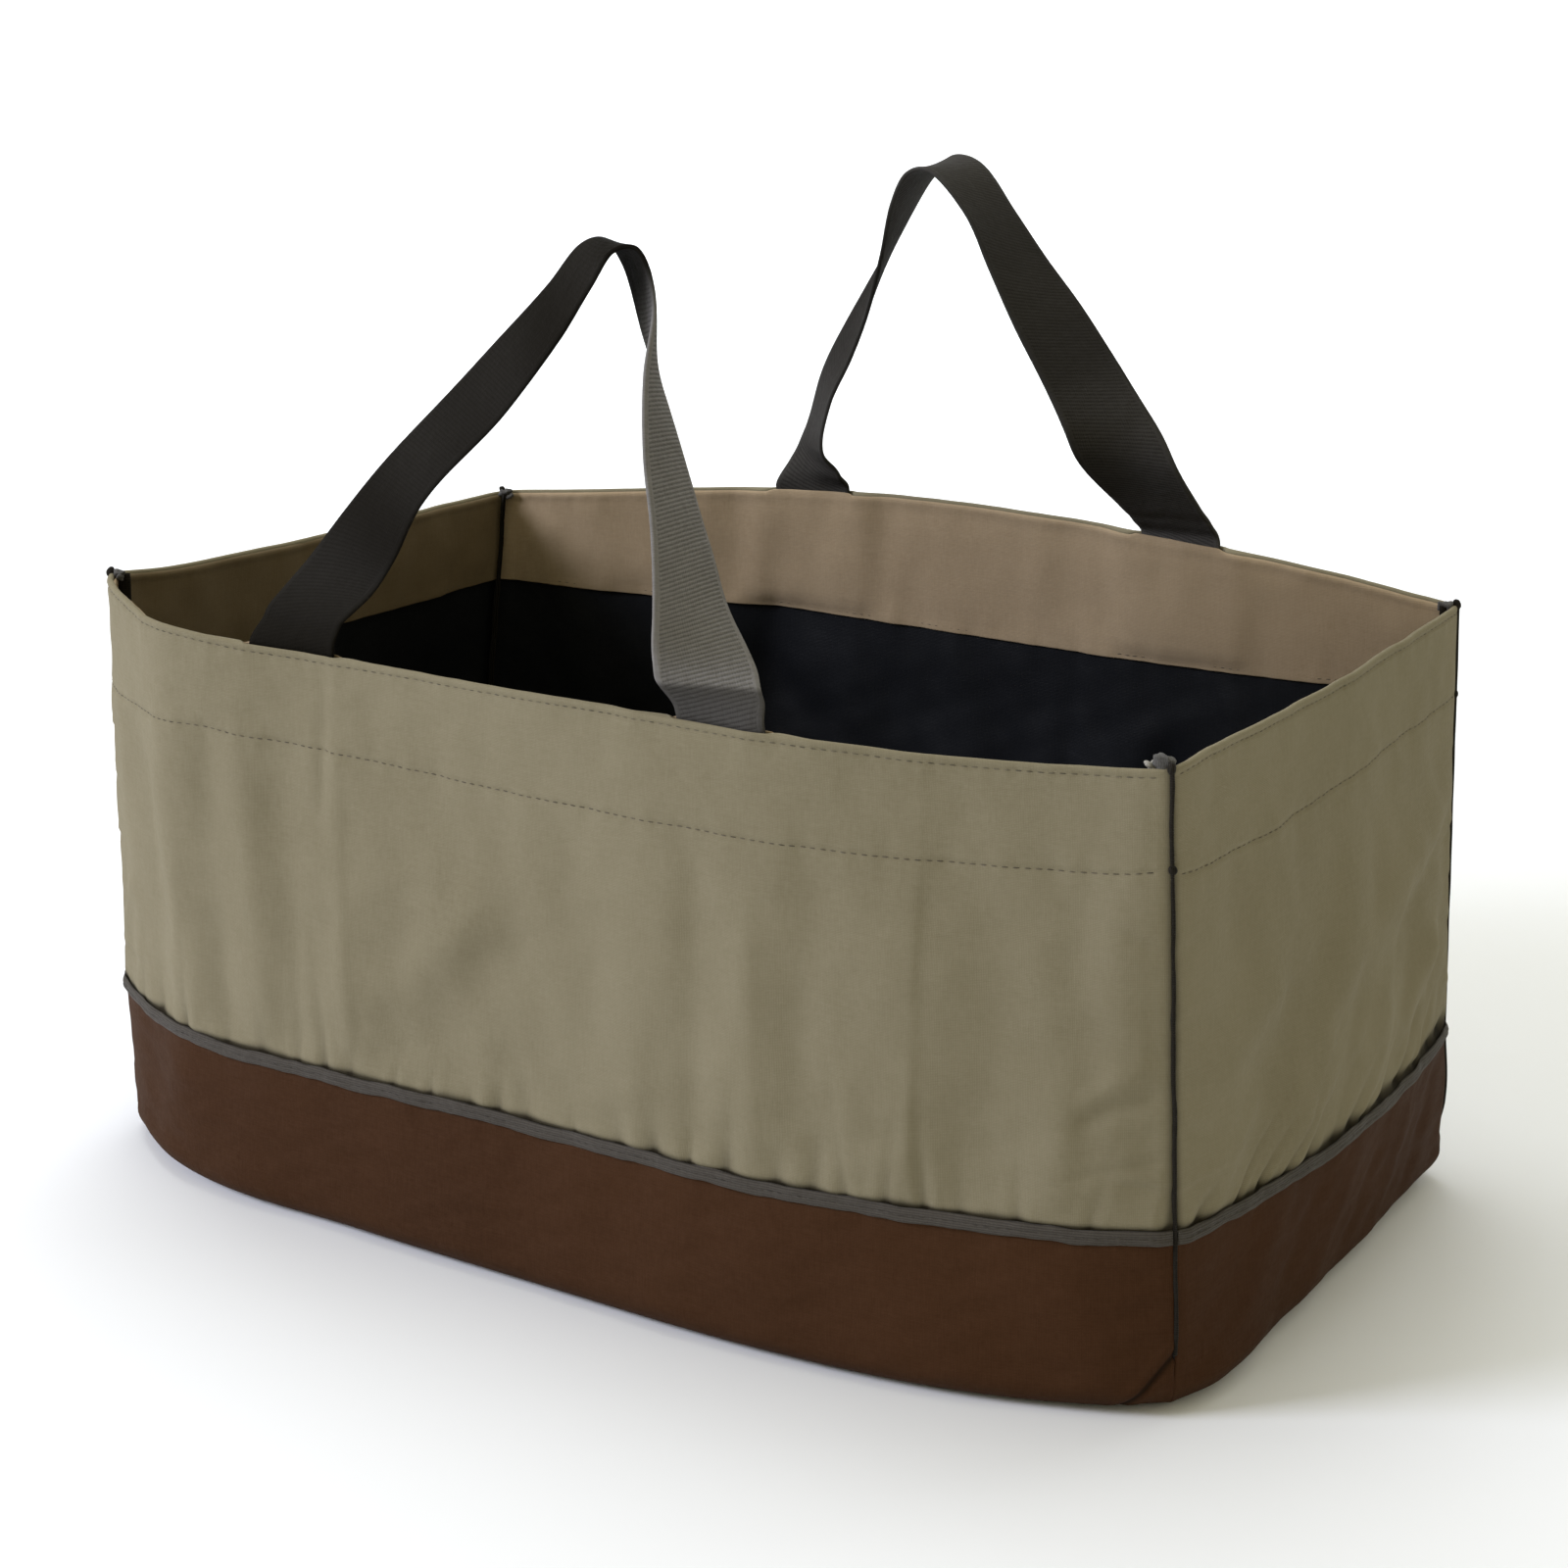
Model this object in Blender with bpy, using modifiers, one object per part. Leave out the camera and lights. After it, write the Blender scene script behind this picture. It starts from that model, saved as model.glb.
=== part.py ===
"""Soft firewood carrier bag: an open-top cloth tote with two webbing handles.

Units are metres, +X runs along the long front wall, -Y is the front, +Z is up, and the
origin is under the middle of the bag on the ground. The bag stands open and full-bodied:
its long walls bow outward, its corners are sewn seams, and each handle is one ribbon of
webbing that leaves the rim upright, turns as it leans inward and loops over.
"""
import math
from functools import lru_cache

import bpy
import numpy as np
from mathutils import Matrix, Vector

# Overall size of the bag, and the levels that all pieces follow.
LENGTH = 0.500          # corner seam to corner seam along a long wall
DEPTH = 0.278           # corner seam to corner seam along an end wall
HEIGHT = 0.2555         # rim at the corners, above the ground
BASE_TALL = 0.0710      # joint between the brown base band and the upper wall
FOOT_ROUND = 0.0130     # rounded lower edge of the base band
LIP = 0.0140            # flat strip of the base band that turns under the bag

# Cloth thicknesses and the clearances between sewn layers.
CANVAS = 0.0012
BASE_CLOTH = 0.0015
FACING = 0.0010
TAPE = 0.0010
WEBBING = 0.0017
LAYER_GAP = 0.0003
EDGE_GAP = 0.0004
POCKET_GAP = 0.0006     # clearance on each side of a strap tail inside the hem
POCKET_FLAT = 0.0060    # the hem stays open this far beside a strap tail
POCKET_EASE = 0.0160    # and closes over this length

# Trim tape over the joint, and the folded tape that binds each corner seam.
TRIM_TALL = 0.0068
TRIM_RISE = 0.0034      # tape's top edge above the joint
BIND_THICK = 0.0024
BIND_DEEP = 0.0085
BIND_OUT = 0.0002       # its fold starts this far inside the corner line
BIND_FOOT = 0.0170      # its lower end above the ground
BIND_TOP = 0.0006       # its upper end above the rim

# Inner strip of the hem.
FACING_TALL = 0.0450
FACING_DROP = 0.0004    # below the rim
FACING_SHORT = 0.0026   # shorter than the wall cloth at each corner

# Webbing handles.
STRAP_WIDE = 0.038
STRAP_TAIL = 0.036      # length of webbing held inside the hem
STRAP_SETTLE = 0.0100   # height over which a leg lines up with its tail
FRONT_FEET = (-0.1240, 0.0805)
BACK_FEET = (-0.0830, 0.1120)
FRONT_RISE = 0.161      # top of the front handle above the rim
BACK_RISE = 0.160
HANDLE_LEAN = 0.060     # how far the front handle leans inward

# How far the walls bow, gather and crease.
BOW = 0.045
END_BOW = 0.0135
FRONT_SAG = -0.0065
BACK_LIFT = 0.0140
FOLD = 0.0028
GATHER = 0.0011
GATHER_STEP = 0.0262

# Where each corner seam stands, as shares of half the length and half the depth,
# at the ground, at the trim and at the rim.
CORNER_LEVELS = (0.0, 0.278, 1.0)
CORNERS = {
    "front_left": ((-1.072, -0.868), (-1.072, -0.900), (-1.028, -0.956)),
    "front_right": ((1.034, -0.930), (1.014, -0.917), (1.008, -1.037)),
    "back_right": ((1.014, 0.985), (1.024, 1.005), (0.989, 1.058)),
    "back_left": ((-1.050, 0.900), (-1.050, 0.935), (-0.972, 0.932)),
}

# Outward bow of the long walls, as shares of BOW. Columns are stations along the wall
# from its left seam to its right seam. Rows are shares of the height.
STATIONS = (0.0, 0.06, 0.14, 0.30, 0.50, 0.70, 0.85, 0.95, 1.0)
FRONT_BOWS = (
    (0.00, (0.0, 0.58, 0.94, 1.02, 1.06, 1.04, 0.80, 0.38, 0.0)),
    (0.278, (0.0, 0.44, 0.84, 0.95, 0.92, 0.96, 0.66, 0.32, 0.0)),
    (0.60, (0.0, 0.50, 0.90, 0.88, 0.86, 0.86, 0.54, 0.22, 0.0)),
    (1.00, (0.0, 0.52, 0.92, 0.68, 0.63, 0.62, 0.29, 0.11, 0.0)),
)
BACK_BOWS = (
    (0.00, (0.0, 0.42, 0.78, 0.96, 1.00, 0.96, 0.80, 0.44, 0.0)),
    (0.278, (0.0, 0.32, 0.62, 0.92, 0.94, 0.90, 0.68, 0.32, 0.0)),
    (0.60, (0.0, 0.16, 0.38, 0.86, 0.86, 0.72, 0.50, 0.22, 0.0)),
    (1.00, (0.0, 0.10, 0.26, 0.66, 0.62, 0.42, 0.28, 0.10, 0.0)),
)
# Outward bow of the two end walls, as shares of END_BOW, half-sine along the wall.
END_BOWS = ((0.0, 0.40), (0.278, 1.00), (0.60, 0.72), (1.00, 0.02))

# Soft folds that hang down a wall: station along the wall at the rim and at the trim,
# half width, height as a share of FOLD, and the share of the height where it is deepest.
FRONT_FOLDS = (
    (0.200, 0.225, 0.018, -0.60, 0.66),
    (0.245, 0.262, 0.022, 0.85, 0.62),
    (0.560, 0.520, 0.030, -0.80, 0.50),
    (0.615, 0.590, 0.026, 1.00, 0.56),
    (0.680, 0.700, 0.030, -0.55, 0.55),
    (0.755, 0.760, 0.020, 0.50, 0.50),
    (0.860, 0.845, 0.030, -0.50, 0.48),
)
BACK_FOLDS = (
    (0.300, 0.250, 0.026, 0.90, 0.60),
    (0.370, 0.360, 0.026, -0.75, 0.55),
    (0.520, 0.560, 0.034, 0.60, 0.50),
    (0.700, 0.720, 0.026, 0.80, 0.60),
    (0.770, 0.800, 0.026, -0.60, 0.55),
)
RIGHT_FOLDS = (
    (0.46, 0.12, 0.060, 0.90, 0.42),
    (0.66, 0.34, 0.055, -0.95, 0.40),
    (0.84, 0.56, 0.055, 0.85, 0.42),
    (0.98, 0.78, 0.050, -0.60, 0.36),
)
LEFT_FOLDS = (
    (0.24, 0.40, 0.070, 0.80, 0.45),
    (0.46, 0.62, 0.060, -0.80, 0.42),
    (0.74, 0.84, 0.060, 0.70, 0.45),
)

# Handle ribbons, foot to foot. Columns: share of the way, place along X from the left
# foot (0) to the right foot (1), lean inward as a share of HANDLE_LEAN, rise as a share
# of the handle's rise, turn of the width in plan in degrees, tip of the width in degrees.
FRONT_RIBBON = (
    (0.000, 0.000, 0.00, 0.000, 0, 0),
    (0.035, 0.002, 0.14, 0.075, -1, -3),
    (0.080, 0.030, 0.38, 0.165, -8, -13),
    (0.140, 0.085, 0.46, 0.275, -20, -23),
    (0.200, 0.158, 0.53, 0.412, -34, -24),
    (0.333, 0.336, 0.76, 0.672, -41, -27),
    (0.415, 0.455, 0.85, 0.850, -48, -25),
    (0.467, 0.522, 0.89, 0.966, -51, -18),
    (0.505, 0.570, 0.93, 1.018, -53, 0),
    (0.545, 0.616, 0.98, 0.992, -48, 17),
    (0.600, 0.668, 0.93, 0.855, -50, 29),
    (0.667, 0.714, 0.77, 0.690, -70, 26),
    (0.733, 0.772, 0.60, 0.530, -84, 21),
    (0.800, 0.836, 0.43, 0.375, -92, 17),
    (0.867, 0.897, 0.24, 0.225, -106, 12),
    (0.925, 0.955, 0.08, 0.110, -142, 5),
    (0.965, 0.990, 0.01, 0.050, -170, 1),
    (1.000, 1.000, 0.00, 0.000, -180, 0),
)
BACK_RIBBON = (
    (0.000, 0.000, 0.00, 0.000, -180, 0),
    (0.035, 0.008, 0.03, 0.062, -200, 2),
    (0.075, 0.017, 0.07, 0.150, -227, 8),
    (0.133, 0.060, 0.10, 0.305, -234, 14),
    (0.200, 0.124, 0.10, 0.460, -236, 17),
    (0.267, 0.194, 0.14, 0.612, -243, 19),
    (0.333, 0.262, 0.20, 0.765, -257, 17),
    (0.400, 0.330, 0.30, 0.915, -270, 14),
    (0.440, 0.385, 0.36, 0.985, -275, 8),
    (0.475, 0.450, 0.40, 0.985, -278, 0),
    (0.533, 0.552, 0.46, 0.875, -276, -5),
    (0.600, 0.642, 0.53, 0.742, -284, 1),
    (0.667, 0.732, 0.59, 0.613, -293, 8),
    (0.733, 0.824, 0.67, 0.483, -299, 11),
    (0.800, 0.910, 0.73, 0.350, -312, 12),
    (0.867, 0.957, 0.60, 0.228, -345, 10),
    (0.933, 0.986, 0.28, 0.105, -358, 3),
    (1.000, 1.000, 0.00, 0.000, -360, 0),
)

# Mesh fineness of the cloth grids.
LONG_CELLS = 62
END_CELLS = 22
BASE_CELLS = 32
STRAP_CELLS = 46


def clear_scene():
    """Start from an empty file."""
    for obj in list(bpy.data.objects):
        bpy.data.objects.remove(obj, do_unlink=True)


def new_collection(name):
    """Add a collection to the scene."""
    group = bpy.data.collections.new(name)
    bpy.context.scene.collection.children.link(group)
    return group


def cloth_material(name, colour, roughness):
    """A plain cloth material of one colour."""
    material = bpy.data.materials.new(name)
    material.use_nodes = True
    shader = material.node_tree.nodes["Principled BSDF"]
    shader.inputs["Base Color"].default_value = (*colour, 1.0)
    shader.inputs["Roughness"].default_value = roughness
    return material


def ease(share):
    """Smooth 0 to 1."""
    share = min(max(share, 0.0), 1.0)
    return share * share * (3.0 - 2.0 * share)


def curve(xs, ys, x):
    """Monotone-looking cubic through a short table (Catmull-Rom with real spacing)."""
    x = min(max(x, xs[0]), xs[-1])
    i = min(int(np.searchsorted(xs, x, side="right")) - 1, len(xs) - 2)
    i = max(i, 0)
    step = xs[i + 1] - xs[i]
    t = (x - xs[i]) / step
    slope = (ys[i + 1] - ys[i]) / step
    before = (ys[i] - ys[i - 1]) / (xs[i] - xs[i - 1]) if i > 0 else slope
    after = (ys[i + 2] - ys[i + 1]) / (xs[i + 2] - xs[i + 1]) if i + 2 < len(xs) else slope
    start = 0.5 * (before + slope) * step
    end = 0.5 * (slope + after) * step
    a = 2.0 * t ** 3 - 3.0 * t ** 2 + 1.0
    b = t ** 3 - 2.0 * t ** 2 + t
    c = -2.0 * t ** 3 + 3.0 * t ** 2
    d = t ** 3 - t ** 2
    return a * ys[i] + b * start + c * ys[i + 1] + d * end


def corner(name, z, inset=0.0):
    """Plan position of a corner seam at height z, moved in under the bag by inset."""
    level = min(max(z / HEIGHT, 0.0), 1.0)
    xs = [row[0] for row in CORNERS[name]]
    ys = [row[1] for row in CORNERS[name]]
    x = float(np.interp(level, CORNER_LEVELS, xs)) * 0.5 * LENGTH
    y = float(np.interp(level, CORNER_LEVELS, ys)) * 0.5 * DEPTH
    return np.array((x - math.copysign(inset, x), y - math.copysign(inset, y)))


# Each wall runs between two corner seams. Seen from outside, the front runs left to
# right; the outward side is given as a unit plan direction.
WALLS = {
    "front": ("front_left", "front_right", (0.0, -1.0), FRONT_BOWS, FRONT_FOLDS),
    "back": ("back_left", "back_right", (0.0, 1.0), BACK_BOWS, BACK_FOLDS),
    "right": ("front_right", "back_right", (1.0, 0.0), None, RIGHT_FOLDS),
    "left": ("front_left", "back_left", (-1.0, 0.0), None, LEFT_FOLDS),
}


def wall_bow(wall, along, level):
    """Outward bow of a wall at a station and a share of the height."""
    rows = WALLS[wall][3]
    if rows is None:
        levels = [row[0] for row in END_BOWS]
        shares = [row[1] for row in END_BOWS]
        return END_BOW * curve(levels, shares, level) * math.sin(math.pi * along) ** 0.8
    levels = [row[0] for row in rows]
    shares = [curve(STATIONS, row[1], along) for row in rows]
    return BOW * curve(levels, shares, level)


def wall_fold(wall, along, level):
    """Relief of the hanging folds, fading out at the hem and at the trim."""
    relief = 0.0
    for top, foot, half, high, deep in WALLS[wall][4]:
        lane = foot + (top - foot) * level
        across = (along - lane) / half
        reach = math.exp(-((level - deep) / 0.24) ** 2)
        relief += high * FOLD * math.exp(-across * across) * reach
    return relief * ease((level - 0.27) / 0.10)


def wall_gather(wall, along, level):
    """Small puckers along the joint with the base band."""
    span = LENGTH if wall in ("front", "back") else DEPTH
    fade = math.exp(-max(level - 0.285, 0.0) / 0.055)
    phase = 2.0 * math.pi * along * round(span / GATHER_STEP)
    wobble = 1.4 * math.sin(5.1 * along + 0.7) + 0.8 * math.sin(11.7 * along)
    edge = ease(along / 0.05) * ease((1.0 - along) / 0.05)
    return GATHER * fade * edge * math.sin(phase + wobble)


def rim_height(wall, along):
    """Height of the rim: the front sags a little, the back stands up to its handle."""
    lift = {"front": FRONT_SAG, "back": BACK_LIFT}.get(wall, 0.0)
    return HEIGHT + lift * math.sin(math.pi * along)


def wall_point(wall, along, z, inset=0.0, soft=True, flat_bow=1.0):
    """Outer face of a wall at a station and height, moved inward by inset."""
    first, last, outward = WALLS[wall][:3]
    a = corner(first, z, inset)
    b = corner(last, z, inset)
    level = min(max(z / HEIGHT, 0.0), 1.0)
    push = wall_bow(wall, along, level) * flat_bow
    if soft:
        push += wall_fold(wall, along, level) + wall_gather(wall, along, level)
    plan = a + (b - a) * along + np.array(outward) * push
    return np.array((plan[0], plan[1], z))


def wall_inward(wall, along, z):
    """Unit plan direction into the bag, square to the wall."""
    lower = wall_point(wall, max(along - 0.01, 0.0), z, soft=False)
    upper = wall_point(wall, min(along + 0.01, 1.0), z, soft=False)
    run = (upper - lower)[:2]
    run /= np.linalg.norm(run)
    side = np.array((-run[1], run[0]))
    outward = np.array(WALLS[wall][2])
    return side if float(side @ outward) < 0.0 else -side


def layer_point(wall, along, z, depth, soft=True):
    """A point at a depth behind the outer face of a wall."""
    point = wall_point(wall, along, z, soft=soft)
    point[:2] += wall_inward(wall, along, z) * depth
    return point


def wall_length(wall, z):
    """Length of a wall round its bow at one height."""
    points = [wall_point(wall, k / 24.0, z, soft=False) for k in range(25)]
    return sum(float(np.linalg.norm(q - p)) for p, q in zip(points, points[1:]))


def heading(wall, name, z):
    """Unit plan direction in which a wall leaves a corner."""
    at_start = WALLS[wall][0] == name
    here = wall_point(wall, 0.0 if at_start else 1.0, z, soft=False)
    there = wall_point(wall, 0.03 if at_start else 0.97, z, soft=False)
    run = (there - here)[:2]
    return run / np.linalg.norm(run)


def corner_headings(name, z):
    """Directions of the two walls that meet at a corner."""
    return [heading(wall, name, z) for wall, row in WALLS.items() if name in row[:2]]


@lru_cache(maxsize=None)
def corner_clear(name, z):
    """How far wall cloth stops from a corner line, to lie close against the binding."""
    first, second = corner_headings(name, z)
    half = 0.5 * math.acos(float(np.clip(first @ second, -1.0, 1.0)))
    return (0.5 * BIND_THICK + BASE_CLOTH * math.cos(half)) / math.sin(half) + EDGE_GAP


def wall_ends(wall, z, extra=0.0, share=1.0):
    """First and last station that leave the corner clearance, and an extra length."""
    length = wall_length(wall, z)
    low = corner_clear(WALLS[wall][0], z) * share + extra
    high = corner_clear(WALLS[wall][1], z) * share + extra
    return low / length, 1.0 - high / length


def pocket(wall, x):
    """Space between a wall and its hem facing: it opens where a strap tail lies."""
    feet = {"front": FRONT_FEET, "back": BACK_FEET}.get(wall, ())
    wide = LAYER_GAP
    for foot in feet:
        reach = (abs(x - foot) - 0.5 * STRAP_WIDE - POCKET_FLAT) / POCKET_EASE
        room = WEBBING + 2.0 * POCKET_GAP - LAYER_GAP
        wide = max(wide, LAYER_GAP + room * (1.0 - ease(reach)))
    return wide


def grid_object(name, columns, rows, place, material, group):
    """A flat grid whose points are set by place(column share, row share)."""
    mesh = bpy.data.meshes.new(name)
    obj = bpy.data.objects.new(name, mesh)
    group.objects.link(obj)
    verts = [place(i / columns, j / rows) for j in range(rows + 1) for i in range(columns + 1)]
    wide = columns + 1
    faces = []
    for j in range(rows):
        for i in range(columns):
            k = j * wide + i
            faces.append((k, k + 1, k + wide + 1, k + wide))
    mesh.from_pydata([tuple(float(c) for c in v) for v in verts], [], faces)
    mesh.materials.append(material)
    return obj


def thicken(obj, thickness, way):
    """Give a cloth sheet its thickness: 1 grows it into the bag, -1 out of it, 0 both."""
    middle = Vector((0.0, 0.0, 0.5 * HEIGHT))
    facing = sum((middle - face.center).dot(face.normal) * face.area for face in obj.data.polygons)
    modifier = obj.modifiers.new("cloth", "SOLIDIFY")
    modifier.thickness = thickness
    modifier.offset = way if facing > 0.0 else -way
    modifier.use_even_offset = True
    modifier.use_quality_normals = True
    return obj


def spread(share, low_share):
    """Put more grid rows near the bottom, where the gathers are."""
    return share * (low_share + (1.0 - low_share) * share)


def wall_panel(wall, cells, rows, material, group):
    """Upper wall cloth, from the joint with the base band up to the rim."""
    foot = BASE_TALL + 0.5 * EDGE_GAP

    def place(i, j):
        top = rim_height(wall, i)
        z = foot + (top - foot) * spread(j, 0.45)
        low, high = wall_ends(wall, z)
        return wall_point(wall, low + (high - low) * i, z)

    obj = grid_object("panel_" + wall, cells, rows, place, material, group)
    return thicken(obj, CANVAS, 1.0)


def hem_facing(wall, cells, material, group):
    """Inner strip of the folded hem."""

    def place(i, j):
        z = rim_height(wall, i) - FACING_DROP - FACING_TALL * (1.0 - j)
        low, high = wall_ends(wall, z, FACING_SHORT)
        along = low + (high - low) * i
        x = wall_point(wall, along, z)[0]
        return layer_point(wall, along, z, CANVAS + pocket(wall, x))

    obj = grid_object("facing_" + wall, cells, 2, place, material, group)
    return thicken(obj, FACING, 1.0)


def base_steps():
    """Rows of the base cloth from the joint down, as inset under the bag and height."""
    top = BASE_TALL - 0.5 * EDGE_GAP
    steps = [(0.0, top), (0.0, 0.5 * (top + FOOT_ROUND)), (0.0, FOOT_ROUND)]
    for k in (1, 2, 3):
        turn = 0.5 * math.pi * k / 3.0
        steps.append((FOOT_ROUND * (1.0 - math.cos(turn)), FOOT_ROUND * (1.0 - math.sin(turn))))
    steps.append((FOOT_ROUND + LIP, 0.0))
    return steps


def base_place(wall, share, inset, z):
    """A point of the base cloth on one wall."""
    low, high = wall_ends(wall, FOOT_ROUND, EDGE_GAP, min(z / FOOT_ROUND, 1.0))
    return wall_point(wall, low + (high - low) * share, z, inset, soft=False)


def base_band(wall, cells, material, group):
    """Brown band on a long wall, rounded under the bag and ending in a flat lip."""
    steps = base_steps()

    def place(i, j):
        return base_place(wall, i, *steps[round(j * (len(steps) - 1))])

    obj = grid_object("base_" + wall, cells, len(steps) - 1, place, material, group)
    return thicken(obj, BASE_CLOTH, 1.0)


def base_cradle(cells, across, material, group):
    """One length of brown cloth: left end band, bottom of the bag and right end band."""
    under = FOOT_ROUND + LIP + EDGE_GAP
    path = [("left", inset, z) for inset, z in base_steps()]
    path += [("bottom", k / cells, 0.0) for k in range(cells + 1)]
    path += [("right", inset, z) for inset, z in reversed(base_steps())]

    def place(i, j):
        part, value, z = path[round(i * (len(path) - 1))]
        if part == "bottom":
            front = base_place("front", value, under, z)
            back = base_place("back", value, under, z)
            return front + (back - front) * j
        return base_place(part, j, value, z)

    obj = grid_object("base_cradle", len(path) - 1, across, place, material, group)
    return thicken(obj, BASE_CLOTH, 1.0)


def trim_tape(wall, cells, material, group):
    """Narrow tape over the joint between the base band and the upper wall."""

    def place(i, j):
        z = BASE_TALL + TRIM_RISE - TRIM_TALL * (1.0 - j)
        low, high = wall_ends(wall, z)
        along = low + (high - low) * i
        return layer_point(wall, along, z, -2.0 * LAYER_GAP - GATHER, soft=False)

    obj = grid_object("trim_" + wall, cells, 1, place, material, group)
    return thicken(obj, TAPE, -1.0)


def corner_binding(name, material, group):
    """Folded tape round the seam allowance of one corner: its fold shows as a thin line
    outside and the rest stands inward as a fin."""

    def place(i, j):
        z = BIND_FOOT + (HEIGHT + BIND_TOP - BIND_FOOT) * j
        inward = sum(corner_headings(name, z))
        inward /= np.linalg.norm(inward)
        plan = corner(name, z) + inward * (BIND_OUT + BIND_DEEP * i)
        return np.array((plan[0], plan[1], z))

    obj = grid_object("binding_" + name, 2, 6, place, material, group)
    return thicken(obj, BIND_THICK, 0.0)


def foot_point(wall, x, z):
    """Middle of the webbing inside the hem at one place along X."""
    low, high = 0.0, 1.0
    for _ in range(40):
        mid = 0.5 * (low + high)
        if wall_point(wall, mid, z)[0] < x:
            low = mid
        else:
            high = mid
    return layer_point(wall, low, z, CANVAS + POCKET_GAP + 0.5 * WEBBING)


def handle(wall, feet, rise, ribbon, material, group):
    """One webbing handle: tail inside the hem, leg, loop, leg and tail."""
    sign = 1.0 if wall == "front" else -1.0
    shares = [row[0] for row in ribbon]
    columns = [[row[k] for row in ribbon] for k in range(1, 6)]
    rims = [rim_height(wall, 0.5 + foot / LENGTH) for foot in feet]
    seats = [foot_point(wall, foot, rim)[1] for foot, rim in zip(feet, rims)]
    path = [("tail", 0, 1.0), ("tail", 0, 0.5)]
    path += [("ribbon", 0, k / STRAP_CELLS) for k in range(STRAP_CELLS + 1)]
    path += [("tail", 1, 0.5), ("tail", 1, 1.0)]

    def place(i, j):
        part, side, share = path[round(i * (len(path) - 1))]
        half = STRAP_WIDE * (j - 0.5)
        if part == "tail":
            facing = math.cos(math.radians(ribbon[-side][4]))
            return foot_point(wall, feet[side] + half * facing, rims[side] - STRAP_TAIL * share)
        run, lean, up, turn, tip = (curve(shares, column, share) for column in columns)
        turn = math.radians(turn)
        tip = math.radians(tip)
        width = (math.cos(tip) * math.cos(turn), math.cos(tip) * math.sin(turn), math.sin(tip))
        centre = np.array((
            feet[0] + (feet[1] - feet[0]) * run,
            seats[0] + (seats[1] - seats[0]) * share + sign * HANDLE_LEAN * lean,
            rims[0] + (rims[1] - rims[0]) * share + rise * up,
        ))
        point = centre + np.array(width) * half
        near = 0 if share < 0.5 else 1
        held = 1.0 - ease((centre[2] - rims[near]) / STRAP_SETTLE)
        if held > 0.0:
            point[1] += held * (foot_point(wall, point[0], rims[near])[1] - point[1])
        return point

    obj = grid_object("handle_" + wall, len(path) - 1, 3, place, material, group)
    return thicken(obj, WEBBING, 0.0)


def centre(group):
    """Move the whole bag so that its bounding box stands centred on the origin."""
    bpy.context.view_layer.update()
    graph = bpy.context.evaluated_depsgraph_get()
    corners = [c for obj in group.objects for c in obj.evaluated_get(graph).bound_box]
    middle = [0.5 * (min(c[k] for c in corners) + max(c[k] for c in corners)) for k in (0, 1)]
    for obj in group.objects:
        obj.data.transform(Matrix.Translation((-middle[0], -middle[1], 0.0)))


def build():
    clear_scene()
    group = new_collection("firewood_carrier_bag")
    khaki = cloth_material("canvas_khaki", (0.262, 0.230, 0.165), 0.85)
    brown = cloth_material("canvas_brown", (0.065, 0.031, 0.018), 0.80)
    lining = cloth_material("hem_facing", (0.223, 0.184, 0.120), 0.85)
    tape = cloth_material("trim_tape", (0.089, 0.080, 0.068), 0.80)
    dark = cloth_material("seam_binding", (0.022, 0.018, 0.015), 0.85)
    webbing = cloth_material("webbing", (0.052, 0.046, 0.036), 0.75)
    for wall, cells in (("front", LONG_CELLS), ("back", LONG_CELLS),
                        ("right", END_CELLS), ("left", END_CELLS)):
        wall_panel(wall, cells, 6, khaki, group)
    for wall, cells in (("front", 36), ("back", 36), ("right", 10), ("left", 10)):
        hem_facing(wall, cells, lining, group)
    for wall in ("front", "back"):
        base_band(wall, BASE_CELLS, brown, group)
    base_cradle(BASE_CELLS, 6, brown, group)
    for wall, cells in (("front", 40), ("back", 40), ("right", 16), ("left", 16)):
        trim_tape(wall, cells, tape, group)
    for name in CORNERS:
        corner_binding(name, dark, group)
    handle("front", FRONT_FEET, FRONT_RISE, FRONT_RIBBON, webbing, group)
    handle("back", BACK_FEET, BACK_RISE, BACK_RIBBON, webbing, group)
    centre(group)


build()
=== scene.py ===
"""Looks of the firewood carrier bag: its cloth, folds, seams, stitches and webbing.

The walls repeat the named sizes of the solids and refine them: each cloth piece is a
closed shell with turned edges, hanging folds and the puckers that its seams pull in.
Everything is built in metres about the middle of the bag's seams and then moved by MIDDLE
to stand in the frame of the solids.
"""
import math

import bpy
import numpy as np
from mathutils import Matrix, Vector


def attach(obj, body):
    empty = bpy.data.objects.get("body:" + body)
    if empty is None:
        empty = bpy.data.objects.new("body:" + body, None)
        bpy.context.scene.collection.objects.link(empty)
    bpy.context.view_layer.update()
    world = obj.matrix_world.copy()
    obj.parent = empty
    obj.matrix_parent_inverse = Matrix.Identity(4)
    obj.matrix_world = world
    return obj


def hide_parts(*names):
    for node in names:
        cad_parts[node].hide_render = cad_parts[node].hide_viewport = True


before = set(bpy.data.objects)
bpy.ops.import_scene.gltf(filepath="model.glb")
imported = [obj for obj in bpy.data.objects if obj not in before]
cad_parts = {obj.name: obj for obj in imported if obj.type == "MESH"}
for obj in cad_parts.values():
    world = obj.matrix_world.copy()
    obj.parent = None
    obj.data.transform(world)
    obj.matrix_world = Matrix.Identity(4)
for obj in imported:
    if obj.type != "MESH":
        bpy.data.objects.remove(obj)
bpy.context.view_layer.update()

# Sizes of the bag, as in the solids.
LENGTH = 0.500
DEPTH = 0.278
HEIGHT = 0.2555
BASE_TALL = 0.0710
FOOT_ROUND = 0.0130
LIP = 0.0140
CANVAS = 0.0012
BASE_CLOTH = 0.0015
FACING = 0.0010
WEBBING = 0.0017
LAYER_GAP = 0.0003
POCKET_GAP = 0.0006
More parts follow.
